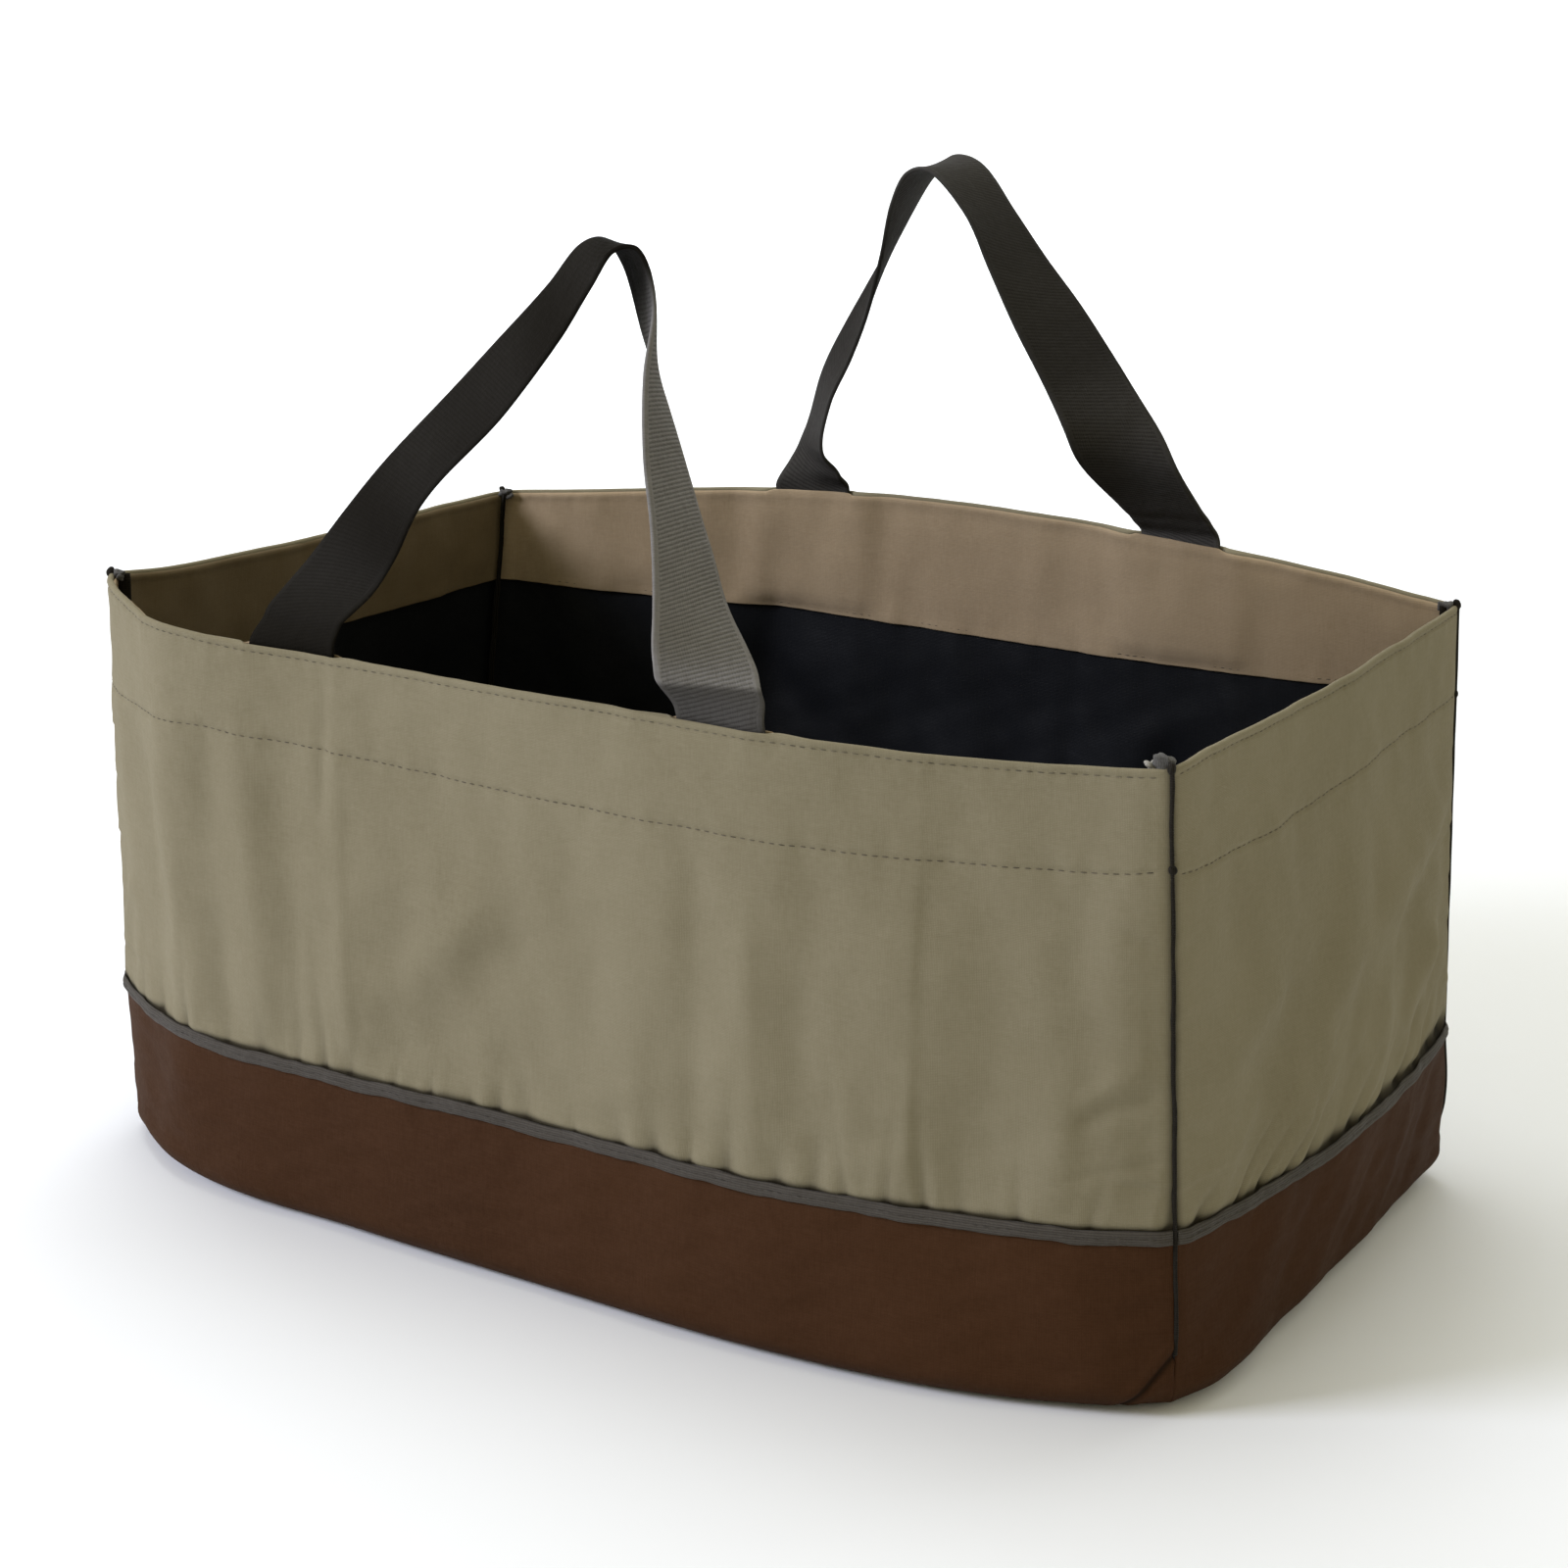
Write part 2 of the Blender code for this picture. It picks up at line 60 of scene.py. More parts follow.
POCKET_FLAT = 0.0060
POCKET_EASE = 0.0160
TRIM_TALL = 0.0068
BIND_DEEP = 0.0085
STRAP_WIDE = 0.038
STRAP_TAIL = 0.036
STRAP_SETTLE = 0.0100
FEET = {"front": (-0.1240, 0.0805), "back": (-0.0830, 0.1120)}
RISE = {"front": 0.161, "back": 0.160}
HANDLE_LEAN = 0.060
BOW = 0.045
END_BOW = 0.0135
RIM_BOW = {"front": -0.0065, "back": 0.0140}
MIDDLE = (0.00525, -0.00204, 0.0)

# Sizes that only the looks have.
FOLD_GAIN = 1.5
HEM_LINE = 0.2090       # height of the hem's row of stitches in the middle of a wall
RIM_LINE = 0.0031       # topstitch below the rim
TAPE_LOW = 0.0679       # edges of the tape that shows
TAPE_TOP = 0.0737
SEAM_FOOT = 0.0245      # where the corner binding runs into the slanted seam
SEAM_CLEAR = 0.0012     # cloth stops this far from a corner line
SEAM_TUCK = 0.0009      # and turns in this deep there
SEAM_EASE = 0.0060
STITCH_PITCH = 0.0041
STITCH_LONG = 0.0027
STITCH_THICK = 0.00042
JOINT_GAP = 0.0002      # between the khaki and the brown cloth, each way
RIM_ROLL = 0.0011       # radius of the roll over the rim
PANEL_SHELL = 0.00085   # thickness of each cloth as it is drawn
FACING_SHELL = 0.0008
TRIM_SHELL = 0.0009
BINDING_SHELL = 0.0006
WALL_SEEDS = {"front": 1, "back": 2, "right": 3, "left": 4}

# Plan of the corners at three levels, as shares of half the length and half the depth.
CORNER_LEVELS = (0.0, 0.278, 1.0)
CORNERS = {
    "front_left": ((-1.072, -0.868), (-1.072, -0.900), (-1.028, -0.956)),
    "front_right": ((1.034, -0.930), (1.014, -0.917), (1.008, -1.037)),
    "back_right": ((1.014, 0.985), (1.024, 1.005), (0.989, 1.058)),
    "back_left": ((-1.050, 0.900), (-1.050, 0.935), (-0.972, 0.932)),
}
# How far the long walls bow out at each station, level by level, as shares of BOW.
STATIONS = (0.0, 0.06, 0.14, 0.30, 0.50, 0.70, 0.85, 0.95, 1.0)
FRONT_BOWS = (
    (0.00, (0.0, 0.58, 0.94, 1.02, 1.06, 1.04, 0.80, 0.38, 0.0)),
    (0.278, (0.0, 0.44, 0.84, 0.95, 0.92, 0.96, 0.66, 0.32, 0.0)),
    (0.60, (0.0, 0.50, 0.90, 0.88, 0.86, 0.86, 0.54, 0.22, 0.0)),
    (1.00, (0.0, 0.52, 0.92, 0.68, 0.63, 0.62, 0.29, 0.11, 0.0)),
)
BACK_BOWS = (
    (0.00, (0.0, 0.42, 0.78, 0.96, 1.00, 0.96, 0.80, 0.44, 0.0)),
    (0.278, (0.0, 0.32, 0.62, 0.92, 0.94, 0.90, 0.68, 0.32, 0.0)),
    (0.60, (0.0, 0.16, 0.38, 0.86, 0.86, 0.72, 0.50, 0.22, 0.0)),
    (1.00, (0.0, 0.10, 0.26, 0.66, 0.62, 0.42, 0.28, 0.10, 0.0)),
)
END_BOWS = ((0.0, 0.40), (0.278, 1.00), (0.60, 0.72), (1.00, 0.02))

# Folds of the upper walls. Columns: station at the rim and at the trim, half width as a
# share of the wall, height in metres, level where it is deepest, reach up and down.
FRONT_FOLDS = (
    (0.050, 0.062, 0.014, 0.0008, 0.46, 0.30),
    (0.088, 0.100, 0.015, -0.0012, 0.48, 0.28),
    (0.125, 0.142, 0.019, 0.0017, 0.55, 0.32),
    (0.172, 0.188, 0.018, -0.0016, 0.54, 0.32),
    (0.212, 0.232, 0.018, 0.0017, 0.56, 0.34),
    (0.256, 0.268, 0.018, -0.0013, 0.54, 0.34),
    (0.372, 0.372, 0.020, -0.0012, 0.42, 0.20),
    (0.500, 0.490, 0.050, 0.0014, 0.74, 0.26),
    (0.590, 0.592, 0.034, 0.0021, 0.50, 0.30),
    (0.642, 0.652, 0.015, -0.0011, 0.52, 0.34),
    (0.735, 0.742, 0.020, -0.0014, 0.50, 0.34),
    (0.885, 0.880, 0.026, -0.0012, 0.50, 0.30),
    (0.925, 0.928, 0.017, 0.0014, 0.40, 0.15),
    (0.966, 0.962, 0.018, 0.0015, 0.62, 0.34),
)
BACK_FOLDS = (
    (0.300, 0.250, 0.026, 0.0025, 0.60, 0.24),
    (0.370, 0.360, 0.026, -0.0021, 0.55, 0.24),
    (0.520, 0.560, 0.034, 0.0017, 0.50, 0.24),
    (0.610, 0.640, 0.022, -0.0012, 0.50, 0.22),
    (0.700, 0.720, 0.026, 0.0022, 0.60, 0.24),
    (0.770, 0.800, 0.026, -0.0017, 0.55, 0.24),
    (0.870, 0.880, 0.022, 0.0012, 0.50, 0.22),
)
RIGHT_FOLDS = (
    (0.420, 0.060, 0.060, 0.0013, 0.44, 0.22),
    (0.560, 0.170, 0.052, -0.0015, 0.42, 0.22),
    (0.700, 0.300, 0.046, 0.0016, 0.44, 0.24),
    (0.800, 0.410, 0.042, -0.0016, 0.44, 0.22),
    (0.920, 0.540, 0.040, 0.0015, 0.42, 0.20),
    (1.000, 0.660, 0.034, -0.0014, 0.40, 0.18),
    (1.060, 0.780, 0.032, 0.0013, 0.38, 0.16),
)
LEFT_FOLDS = (
    (0.240, 0.400, 0.070, 0.0022, 0.45, 0.24),
    (0.460, 0.620, 0.060, -0.0022, 0.42, 0.24),
    (0.740, 0.840, 0.060, 0.0020, 0.45, 0.24),
)

# Slanted folds, from one end to the other. Columns: run along the wall and height of
# both ends, half width and how far the fold stands out, all in millimetres.
SLANTS = {
    "right": (
        (270, 181, 126, 134, 11.0, 2.5), (252, 158, 160, 120, 11.0, -1.9), (242, 127, 185, 90, 7.5, 2.3),
        (254, 116, 208, 84, 6.5, -1.9), (82, 151, 12, 122, 13.0, 2.0), (128, 152, 38, 116, 13.0, -1.8),
        (150, 116, 88, 84, 7.5, 1.2), (205, 208, 140, 184, 12.0, -1.0), (60, 112, 18, 84, 6.5, 1.2),
    ),
    "front": (
        (246, 162, 184, 104, 12.0, 2.2), (266, 152, 208, 94, 13.0, -1.8), (486, 150, 512, 168, 9.0, 0.9),
        (502, 124, 528, 142, 4.0, 1.1), (500, 113, 530, 131, 4.0, -1.2), (30, 130, 8, 96, 5.0, 1.2),
    ),
    "left": ((60, 190, 150, 110, 12.0, 1.6), (110, 200, 210, 120, 14.0, -1.6)),
    "back": ((120, 190, 230, 110, 14.0, 1.8), (380, 185, 300, 105, 14.0, -1.8)),
}
# Creases that rise softly from the left and drop on the right. Columns: station at the rim
# and at the trim, height in metres, width of the rise, of the edge and of the slope beyond.
CREASES = {
    "front": (
        (0.303, 0.327, 0.0021, 0.0085, 0.0026, 0.014), (0.686, 0.704, 0.0024, 0.0120, 0.0042, 0.019),
        (0.820, 0.819, 0.0043, 0.0290, 0.0034, 0.021),
    ),
    "back": ((0.620, 0.600, 0.0014, 0.0090, 0.0030, 0.012),),
    "right": (),
    "left": ((0.450, 0.470, 0.0010, 0.0090, 0.0030, 0.012),),
}

# Rim and hem line near the corners, as read in the photograph: station, metres of lift.
RIM_LIFTS = {
    "front": ((0.0, 0.0042), (0.035, 0.0044), (0.11, 0.0022), (0.17, 0.0015), (0.23, 0.0), (0.60, 0.0),
              (0.68, -0.0008), (0.75, -0.0018), (0.81, -0.0036), (0.88, -0.0042), (0.95, -0.0037),
              (1.0, -0.0028)),
    "right": ((0.0, -0.0028), (0.06, -0.0014), (0.14, -0.0021), (0.24, -0.0028), (0.40, -0.0032),
              (0.56, -0.0032), (0.76, -0.0018), (0.95, 0.0), (1.0, 0.0)),
    "left": ((0.0, 0.0042), (0.12, 0.0010), (0.30, -0.0004), (0.5, -0.0012), (0.7, -0.0004), (1.0, 0.0)),
    "back": ((0.0, 0.0), (1.0, 0.0)),
}
HEM_LIFTS = {
    "front": ((0.0, 0.0040), (0.11, 0.0040), (0.165, 0.0044), (0.24, 0.0028), (0.30, 0.0020), (0.40, 0.0),
              (0.82, 0.0), (0.90, 0.0014), (0.95, 0.0026), (0.975, 0.0042), (1.0, 0.0062)),
    "right": ((0.0, 0.0044), (0.03, 0.0036), (0.17, 0.0020), (0.33, 0.0020), (0.64, 0.0052), (1.0, 0.0085)),
    "left": ((0.0, 0.0040), (0.3, 0.0010), (0.7, 0.0010), (1.0, 0.0040)),
    "back": ((0.0, 0.0040), (0.25, 0.0005), (0.75, 0.0005), (1.0, 0.0085)),
}

# Seam that boxes each lower corner: run along the wall and rise at the corner.
CORNER_SEAM = (0.0190, 0.0255)
# How far each corner of the band moves in, its reach in plan, and the heights where it fades.
FOOT_PULLS = {
    "front_right": (0.0032, 0.024, 0.006, 0.036), "back_right": (-0.0038, 0.060, 0.040, 0.076),
    "front_left": (0.0016, 0.024, 0.006, 0.036), "back_left": (0.0032, 0.024, 0.006, 0.036),
}
# Folds of the brown band. Columns: station at the trim and at the ground, half width as
# a share of the wall, height in metres.
BASE_FOLDS = {
    "front": (
        (0.060, 0.080, 0.030, -0.0012), (0.130, 0.150, 0.030, 0.0010),
        (0.300, 0.330, 0.050, -0.0010), (0.620, 0.660, 0.060, 0.0008),
        (0.860, 0.900, 0.030, -0.0012), (0.925, 0.950, 0.020, 0.0010),
    ),
    "back": ((0.200, 0.240, 0.050, -0.0010), (0.600, 0.560, 0.060, 0.0010)),
    "right": (
        (0.300, 0.100, 0.040, 0.0012), (0.430, 0.240, 0.034, -0.0014),
        (0.560, 0.380, 0.034, 0.0014), (0.690, 0.500, 0.032, -0.0014),
        (0.820, 0.640, 0.032, 0.0013), (0.930, 0.780, 0.030, -0.0012),
    ),
    "left": ((0.300, 0.420, 0.060, 0.0012), (0.620, 0.700, 0.060, -0.0012)),
}

# Path of the webbing. Columns: share of the path, run from foot to foot, lean, rise, turn of
# its width in plan and tip of its width, both in degrees.
FRONT_RIBBON = (
    (0.000, 0.000, 0.00, 0.000, 0, 0),
    (0.035, 0.002, 0.14, 0.075, -1, -3),
    (0.080, 0.030, 0.38, 0.165, -8, -13),
    (0.140, 0.085, 0.46, 0.275, -20, -23),
    (0.200, 0.158, 0.53, 0.412, -34, -24),
    (0.333, 0.336, 0.76, 0.672, -41, -27),
    (0.415, 0.455, 0.85, 0.850, -48, -25),
    (0.467, 0.522, 0.89, 0.966, -51, -18),
    (0.505, 0.570, 0.93, 1.018, -53, 0),
    (0.545, 0.616, 0.98, 0.992, -48, 17),
    (0.600, 0.668, 0.93, 0.855, -50, 29),
    (0.667, 0.714, 0.77, 0.690, -70, 26),
    (0.733, 0.772, 0.60, 0.530, -84, 21),
    (0.800, 0.836, 0.43, 0.375, -92, 17),
    (0.867, 0.897, 0.24, 0.225, -106, 12),
    (0.925, 0.955, 0.08, 0.110, -142, 5),
    (0.965, 0.990, 0.01, 0.050, -170, 1),
    (1.000, 1.000, 0.00, 0.000, -180, 0),
)
BACK_RIBBON = (
    (0.000, 0.000, 0.00, 0.000, -180, 0),
    (0.035, 0.008, 0.03, 0.062, -200, 2),
    (0.075, 0.017, 0.07, 0.150, -227, 8),
    (0.133, 0.060, 0.10, 0.305, -234, 14),
    (0.200, 0.124, 0.10, 0.460, -236, 17),
    (0.267, 0.194, 0.14, 0.612, -243, 19),
    (0.333, 0.262, 0.20, 0.765, -257, 17),
    (0.400, 0.330, 0.30, 0.915, -270, 14),
    (0.440, 0.385, 0.36, 0.985, -275, 8),
    (0.475, 0.450, 0.40, 0.985, -278, 0),
    (0.533, 0.552, 0.46, 0.875, -276, -5),
    (0.600, 0.642, 0.53, 0.742, -284, 1),
    (0.667, 0.732, 0.59, 0.613, -293, 8),
    (0.733, 0.824, 0.67, 0.483, -299, 11),
    (0.800, 0.910, 0.73, 0.350, -312, 12),
    (0.867, 0.957, 0.60, 0.228, -345, 10),
    (0.933, 0.986, 0.28, 0.105, -358, 3),
    (1.000, 1.000, 0.00, 0.000, -360, 0),
)

# Painted light and shade along the webbing, from 0 pale where it is lit to 1 dark where it lies in shade.
FRONT_SHADE_TONES = ((0.0, 1.0), (0.12, 1.0), (0.24, 0.965), (0.38, 0.96), (0.49, 0.995), (0.565, 0.97),
               (0.612, 0.12), (0.70, 0.0), (0.86, 0.0), (1.0, 0.55))
BACK_SHADE_TONES = ((0.0, 0.86), (0.15, 0.84), (0.35, 0.90), (0.45, 0.70), (0.52, 0.86), (0.70, 0.86), (0.80, 0.76),
              (0.90, 0.64), (1.0, 0.62))

WALLS = {
    "front": ("front_left", "front_right", (0.0, -1.0), FRONT_BOWS, FRONT_FOLDS),
    "back": ("back_left", "back_right", (0.0, 1.0), BACK_BOWS, BACK_FOLDS),
    "right": ("front_right", "back_right", (1.0, 0.0), None, RIGHT_FOLDS),
    "left": ("front_left", "back_left", (-1.0, 0.0), None, LEFT_FOLDS),
}
# How far the puckers at the trim lean along the wall for each metre that they rise.
PUCKER_LEAN = {"front": 0.05, "back": 0.0, "right": 1.1, "left": 0.5}


# Shapes

def ease(share):
    share = np.clip(share, 0.0, 1.0)
    return share * share * (3.0 - 2.0 * share)


def bell(value):
    return np.exp(-value * value)


def curve(xs, ys, x):
    """Cubic through a short table. ys has one number or array for each entry of xs."""
    xs = np.asarray(xs, float)
    x = np.clip(np.asarray(x, float), xs[0], xs[-1])
    ys = np.stack([np.broadcast_to(np.asarray(y, float), x.shape) for y in ys])
    i = np.clip(np.searchsorted(xs, x, side="right") - 1, 0, len(xs) - 2)
    j, k = np.maximum(i - 1, 0), np.minimum(i + 2, len(xs) - 1)

    def at(n):
        return np.take_along_axis(ys, n[None], 0)[0]

    step = xs[i + 1] - xs[i]
    t = (x - xs[i]) / step
    slope = (at(i + 1) - at(i)) / step
    before = np.where(i > 0, (at(i) - at(j)) / np.maximum(xs[i] - xs[j], 1e-9), slope)
    after = np.where(i + 2 < len(xs), (at(k) - at(i + 1)) / np.maximum(xs[k] - xs[i + 1], 1e-9), slope)
    start, end = 0.5 * (before + slope) * step, 0.5 * (slope + after) * step
    return ((2 * t ** 3 - 3 * t ** 2 + 1) * at(i) + (t ** 3 - 2 * t ** 2 + t) * start
            + (3 * t ** 2 - 2 * t ** 3) * at(i + 1) + (t ** 3 - t ** 2) * end)


def through(table, x):
    """Cubic through a table of places and numbers."""
    return curve(*zip(*table), x)


def ripple(u, v, seed, size):
    """Irregular soft relief of about unit height, made of a few seeded waves."""
    count = 9
    rng = np.random.default_rng(seed)
    total = 0.0
    for _ in range(count):
        angle, rate, phase = rng.uniform(0, 6.283), rng.uniform(0.6, 1.6), rng.uniform(0, 6.283)
        total = total + np.sin(6.283 * rate / size * (u * math.cos(angle) + v * math.sin(angle)) + phase)
    return total / math.sqrt(count)


def corner(name, z, inset=0.0):
    level = np.clip(z / HEIGHT, 0.0, 1.0)
    across, deep = zip(*CORNERS[name])
    x = np.interp(level, CORNER_LEVELS, across) * 0.5 * LENGTH
    y = np.interp(level, CORNER_LEVELS, deep) * 0.5 * DEPTH
    return np.stack((x - np.copysign(inset, x), y - np.copysign(inset, y)), -1)


def wall_bow(wall, along, level):
    """How far a wall bows out from the line between its corners."""
    rows = WALLS[wall][3]
    if rows is None:
        return END_BOW * through(END_BOWS, level) * np.sin(math.pi * np.clip(along, 0.0, 1.0)) ** 0.8
    return BOW * through([(height, curve(STATIONS, bows, along)) for height, bows in rows], level)


def plain_wall(wall, along, z, inset=0.0):
    """Outer face of a wall without its folds."""
    along, z, inset = np.broadcast_arrays(np.asarray(along, float), np.asarray(z, float), inset)
    first, last, outward = WALLS[wall][:3]
    a, b = corner(first, z, inset), corner(last, z, inset)
    push = wall_bow(wall, along, np.clip(z / HEIGHT, 0.0, 1.0))
    plan = a + (b - a) * along[..., None] + push[..., None] * np.array(outward)
    return np.concatenate((plan, z[..., None]), -1)


def wall_inward(wall, along, z):
    """Unit plan direction into the bag, square to the wall."""
    run = (plain_wall(wall, np.minimum(along + 0.01, 1.0), z)
           - plain_wall(wall, np.maximum(along - 0.01, 0.0), z))
    side = np.stack((-run[..., 1], run[..., 0], np.zeros_like(run[..., 0])), -1)
    side /= np.linalg.norm(side, axis=-1, keepdims=True)
    away = side[..., 0] * WALLS[wall][2][0] + side[..., 1] * WALLS[wall][2][1]
    return np.where((away > 0.0)[..., None], -side, side)


def raised_wall(wall, along, z, out, inset=0.0):
    """The plain wall with a relief that stands out from it."""
    return plain_wall(wall, along, z, inset) - wall_inward(wall, along, z) * out[..., None]


def wall_length(wall, z):
    points = plain_wall(wall, np.linspace(0.0, 1.0, 49)[None, :], np.atleast_1d(z)[:, None])
    return np.linalg.norm(np.diff(points, axis=1), axis=2).sum(1)


def length_at(wall, z):
    return float(wall_length(wall, z)[0])


def stations(wall, z, share, clear=SEAM_CLEAR):
    """Stations of a row of points that stops clear of both corner lines."""
    gap = clear / wall_length(wall, z)
    return gap[:, None] + (1.0 - 2.0 * gap[:, None]) * share[None, :]


def columns_of(cells):
    """Shares along a wall, twice as dense at its corners."""
    t = np.linspace(0.0, 1.0, cells + 1)
    return 0.5 * t + 0.25 * (1.0 - np.cos(math.pi * t))


def rim_height(wall, along):
    return HEIGHT + RIM_BOW.get(wall, 0.0) * np.sin(math.pi * along) + through(RIM_LIFTS[wall], along)


def hem_height(wall, along):
    return HEM_LINE + through(HEM_LIFTS[wall], along)


def at_corner(height, name):
    """Height of the rim or the hem line at a corner, as the long wall has it."""
    wall = "front" if name.startswith("front") else "back"
    return float(height(wall, np.array(0.0 if name.endswith("left") else 1.0)))


def puckers(wall):
    """Places, depths, widths, lengths and leans of the puckers that the trim seam pulls in."""
    rng = np.random.default_rng(10 + WALL_SEEDS[wall])
    span = length_at(wall, BASE_TALL)
    place, rows = 0.006 + 0.006 * rng.random(), []
    while place < span - 0.006:
        rows.append((place, 0.0005 + 0.0018 * rng.random() ** 1.3, rng.uniform(0.0018, 0.0042),
                     rng.uniform(0.007, 0.032), PUCKER_LEAN[wall] + rng.uniform(-0.25, 0.25)))
        place += rng.uniform(0.013, 0.027)
    return rows


def hang(along):
    """Height of the dark gap that the hanging cloth leaves above the tape of the right end."""
    uneven = np.clip(0.75 + 0.45 * ripple(along * 0.27, 0.0, 37, 0.055), 0.25, 1.3)
    return 0.0020 + 0.0036 * ease((along - 0.20) / 0.65) * uneven


def seam_pulls(wall, u, span, z):
    """Relief of the short creases that each corner seam pulls into the wall."""
    rng = np.random.default_rng(20 + WALL_SEEDS[wall])
    total = np.zeros_like(u)
    for side in (u, span - u):
        start = 0.088
        while start < 0.200:
            long, slope = rng.uniform(0.012, 0.036), rng.uniform(-0.5, 0.45)
            deep, half = rng.uniform(0.0006, 0.0014), rng.uniform(0.0016, 0.0030)
            off = (z - start - slope * side) / half
            total += -deep * (bell(off) - 0.6 * bell(off - 1.9)) * np.exp(-(side / long) ** 2)
            start += rng.uniform(0.012, 0.034)
    return total


def wall_relief(wall, along, z):
    """How far folds, puckers and seams lift the cloth of an upper wall."""
    span = length_at(wall, 0.5 * HEIGHT)
    u = along * span
    level = z / HEIGHT
    total = np.zeros_like(u)
    for top, foot, half, high, deep, reach in WALLS[wall][4]:
        lane = foot + (top - foot) * (level - 0.28) / 0.72
        total += high * bell((along - lane) / half) * bell((level - deep) / reach)
    past_hem = z - hem_height(wall, along)
    hem = ease((past_hem + 0.004) / 0.012)
    for run, high, end_run, end_high, half, out in SLANTS[wall]:
        du, dz = end_run - run, end_high - high
        share = ((u * 1e3 - run) * du + (z * 1e3 - high) * dz) / (du * du + dz * dz)
        off = ((u * 1e3 - run) * dz - (z * 1e3 - high) * du) / math.hypot(du, dz)
        past = np.maximum(np.abs(share - 0.5) - 0.32, 0.0) / 0.16
        total += 0.00075 * out * bell(off / (half * (1.0 + 0.5 * (share - 0.5)))) * bell(past)
    for top, foot, out, wide, edge, slope in CREASES[wall]:
        off = (along - foot - (top - foot) * (level - 0.28) / 0.72) * span
        near = np.where(off < 0.0, bell(off / wide), 0.28 * bell(off / edge) + 0.72 * bell(off / slope))
        total += 0.75 * out * near * (0.50 + 0.50 * ease((0.92 - level) / 0.35))
    if wall == "front":
        # The edge of the strap's tail inside the hem, and the bend of the rim near the corner.
        off = (along - 0.2945) * span
        total -= 0.0007 * bell(off / 0.0030) * ease((level - 0.70) / 0.06)
        off = (along - 0.108) * span
        total += 0.0013 * np.exp(-np.abs(off) / 0.006) * ease((level - 0.82) / 0.18)
    total *= FOLD_GAIN * ease((level - 0.27) / 0.10) * (1.0 - (0.72 if wall == "right" else 0.45) * hem)
    rise = np.maximum(z - TAPE_TOP, 0.0)
    for place, deep, wide, tall, lean in puckers(wall):
        off = np.abs(u - place - lean * rise) / wide
        total -= deep * np.exp(-off ** 1.4) * np.exp(-rise / tall)
        total += 0.45 * deep * bell(off - 2.4) * np.exp(-rise / (0.8 * tall))
    total += 0.0012 * ease((z - TAPE_TOP + 0.001) / 0.003) * np.exp(-rise / 0.009)
    if wall == "right":
        total -= 0.0030 * ease((along - 0.25) / 0.5) * bell(rise / (hang(along) + 0.0004))
    total += seam_pulls(wall, u, span, z) * (1.0 - 0.8 * hem)
    soft = 0.0010 * ripple(u, 0.6 * z, 31, 0.095) + 0.00045 * ripple(u, 0.7 * z, 33, 0.042)
    total += soft * (1.0 - 0.55 * hem)
    total += 0.00020 * ripple(u, z, 32, 0.024)
    # The double cloth of the hem, its row of stitches and the topstitch at the rim.
    total += 0.00045 * hem - 0.00060 * bell(past_hem / 0.0011)
    total += 0.00016 * bell(past_hem / 0.006) * np.sin(6.283 * u / 0.0123 + 1.3 * np.sin(u * 60.0))
    below = rim_height(wall, along) - z
    total += 0.00028 * bell((below - 0.0012) / 0.0014) - 0.00050 * bell((below - RIM_LINE) / 0.0008)
    total += 0.00012 * bell((below - 0.0045) / 0.003) * np.sin(6.283 * u / 0.0087 + 2.0 * np.sin(u * 41.0))
    total *= ease((z - BASE_TALL) / 0.006)
    edge = np.minimum(u, span - u)
    total *= 0.25 + 0.75 * ease(edge / 0.012)
    return total - SEAM_TUCK * (1.0 - ease(edge / SEAM_EASE))


def corner_seam(u, span, z):
    """Distance from the slanted seam that boxes each lower corner, in metres."""
    side = np.minimum(u, span - u)
    run, rise = CORNER_SEAM
    share = np.clip((side * run + (rise - z) * rise) / (run * run + rise * rise), 0.0, 1.0)
    return np.hypot(side - share * run, z - rise * (1.0 - share))


def base_relief(wall, along, z):
    """How far soft folds lift the brown band."""
    span = length_at(wall, FOOT_ROUND)
    u = along * span
    total = np.zeros_like(u)
    for top, foot, half, high in BASE_FOLDS[wall]:
        lane = foot + (top - foot) * np.clip(z / BASE_TALL, 0.0, 1.0)
        total += high * bell((along - lane) / half) * bell((z - 0.038) / 0.026)
    for place, deep, wide, tall, lean in puckers(wall)[::2]:
        drop = np.maximum(TAPE_LOW - z, 0.0)
        total -= 0.30 * deep * bell((u - place + 0.5 * lean * drop) / (1.3 * wide)) * np.exp(-drop / 0.014)
    total += 0.00050 * ripple(u, z, 41, 0.070) + 0.00022 * ripple(u, 1.5 * z, 42, 0.024)
    total *= ease(z / 0.012) * ease((BASE_TALL + 0.004 - z) / 0.012)
    edge = np.minimum(u, span - u)
    total *= 0.2 + 0.8 * ease(edge / 0.014)
    if wall == "right":
        # The end bellies out low beside its front corner.
        belly = bell((u - 0.030) / np.where(u < 0.030, 0.019, 0.050))
        total += 0.0046 * belly * (1.0 - ease((z - 0.004) / 0.036))
    off = corner_seam(u, span, z)
    if wall in ("front", "back"):
        total += 0.0007 * bell((off - 0.0030) / 0.0022) - 0.0011 * bell(off / 0.0012)
    return total - SEAM_TUCK * (1.0 - ease(edge / SEAM_EASE)) * ease((z - 0.012) / 0.010)


def soften_foot(points, names):
    """Moves the band's corners in or out, with both cloths and the binding together."""
    for name in names:
        high, reach, low, top = FOOT_PULLS[name]
        z = np.clip(points[..., 2], 0.0, HEIGHT)
        away = np.linalg.norm(points[..., :2] - corner(name, z), axis=-1)
        pull = high * (1.0 - ease((z - low) / (top - low))) * np.clip(1.0 - away / reach, 0.0, 1.0) ** 2
        points[..., :2] += corner_inward(name, z) * pull[..., None]
    return points


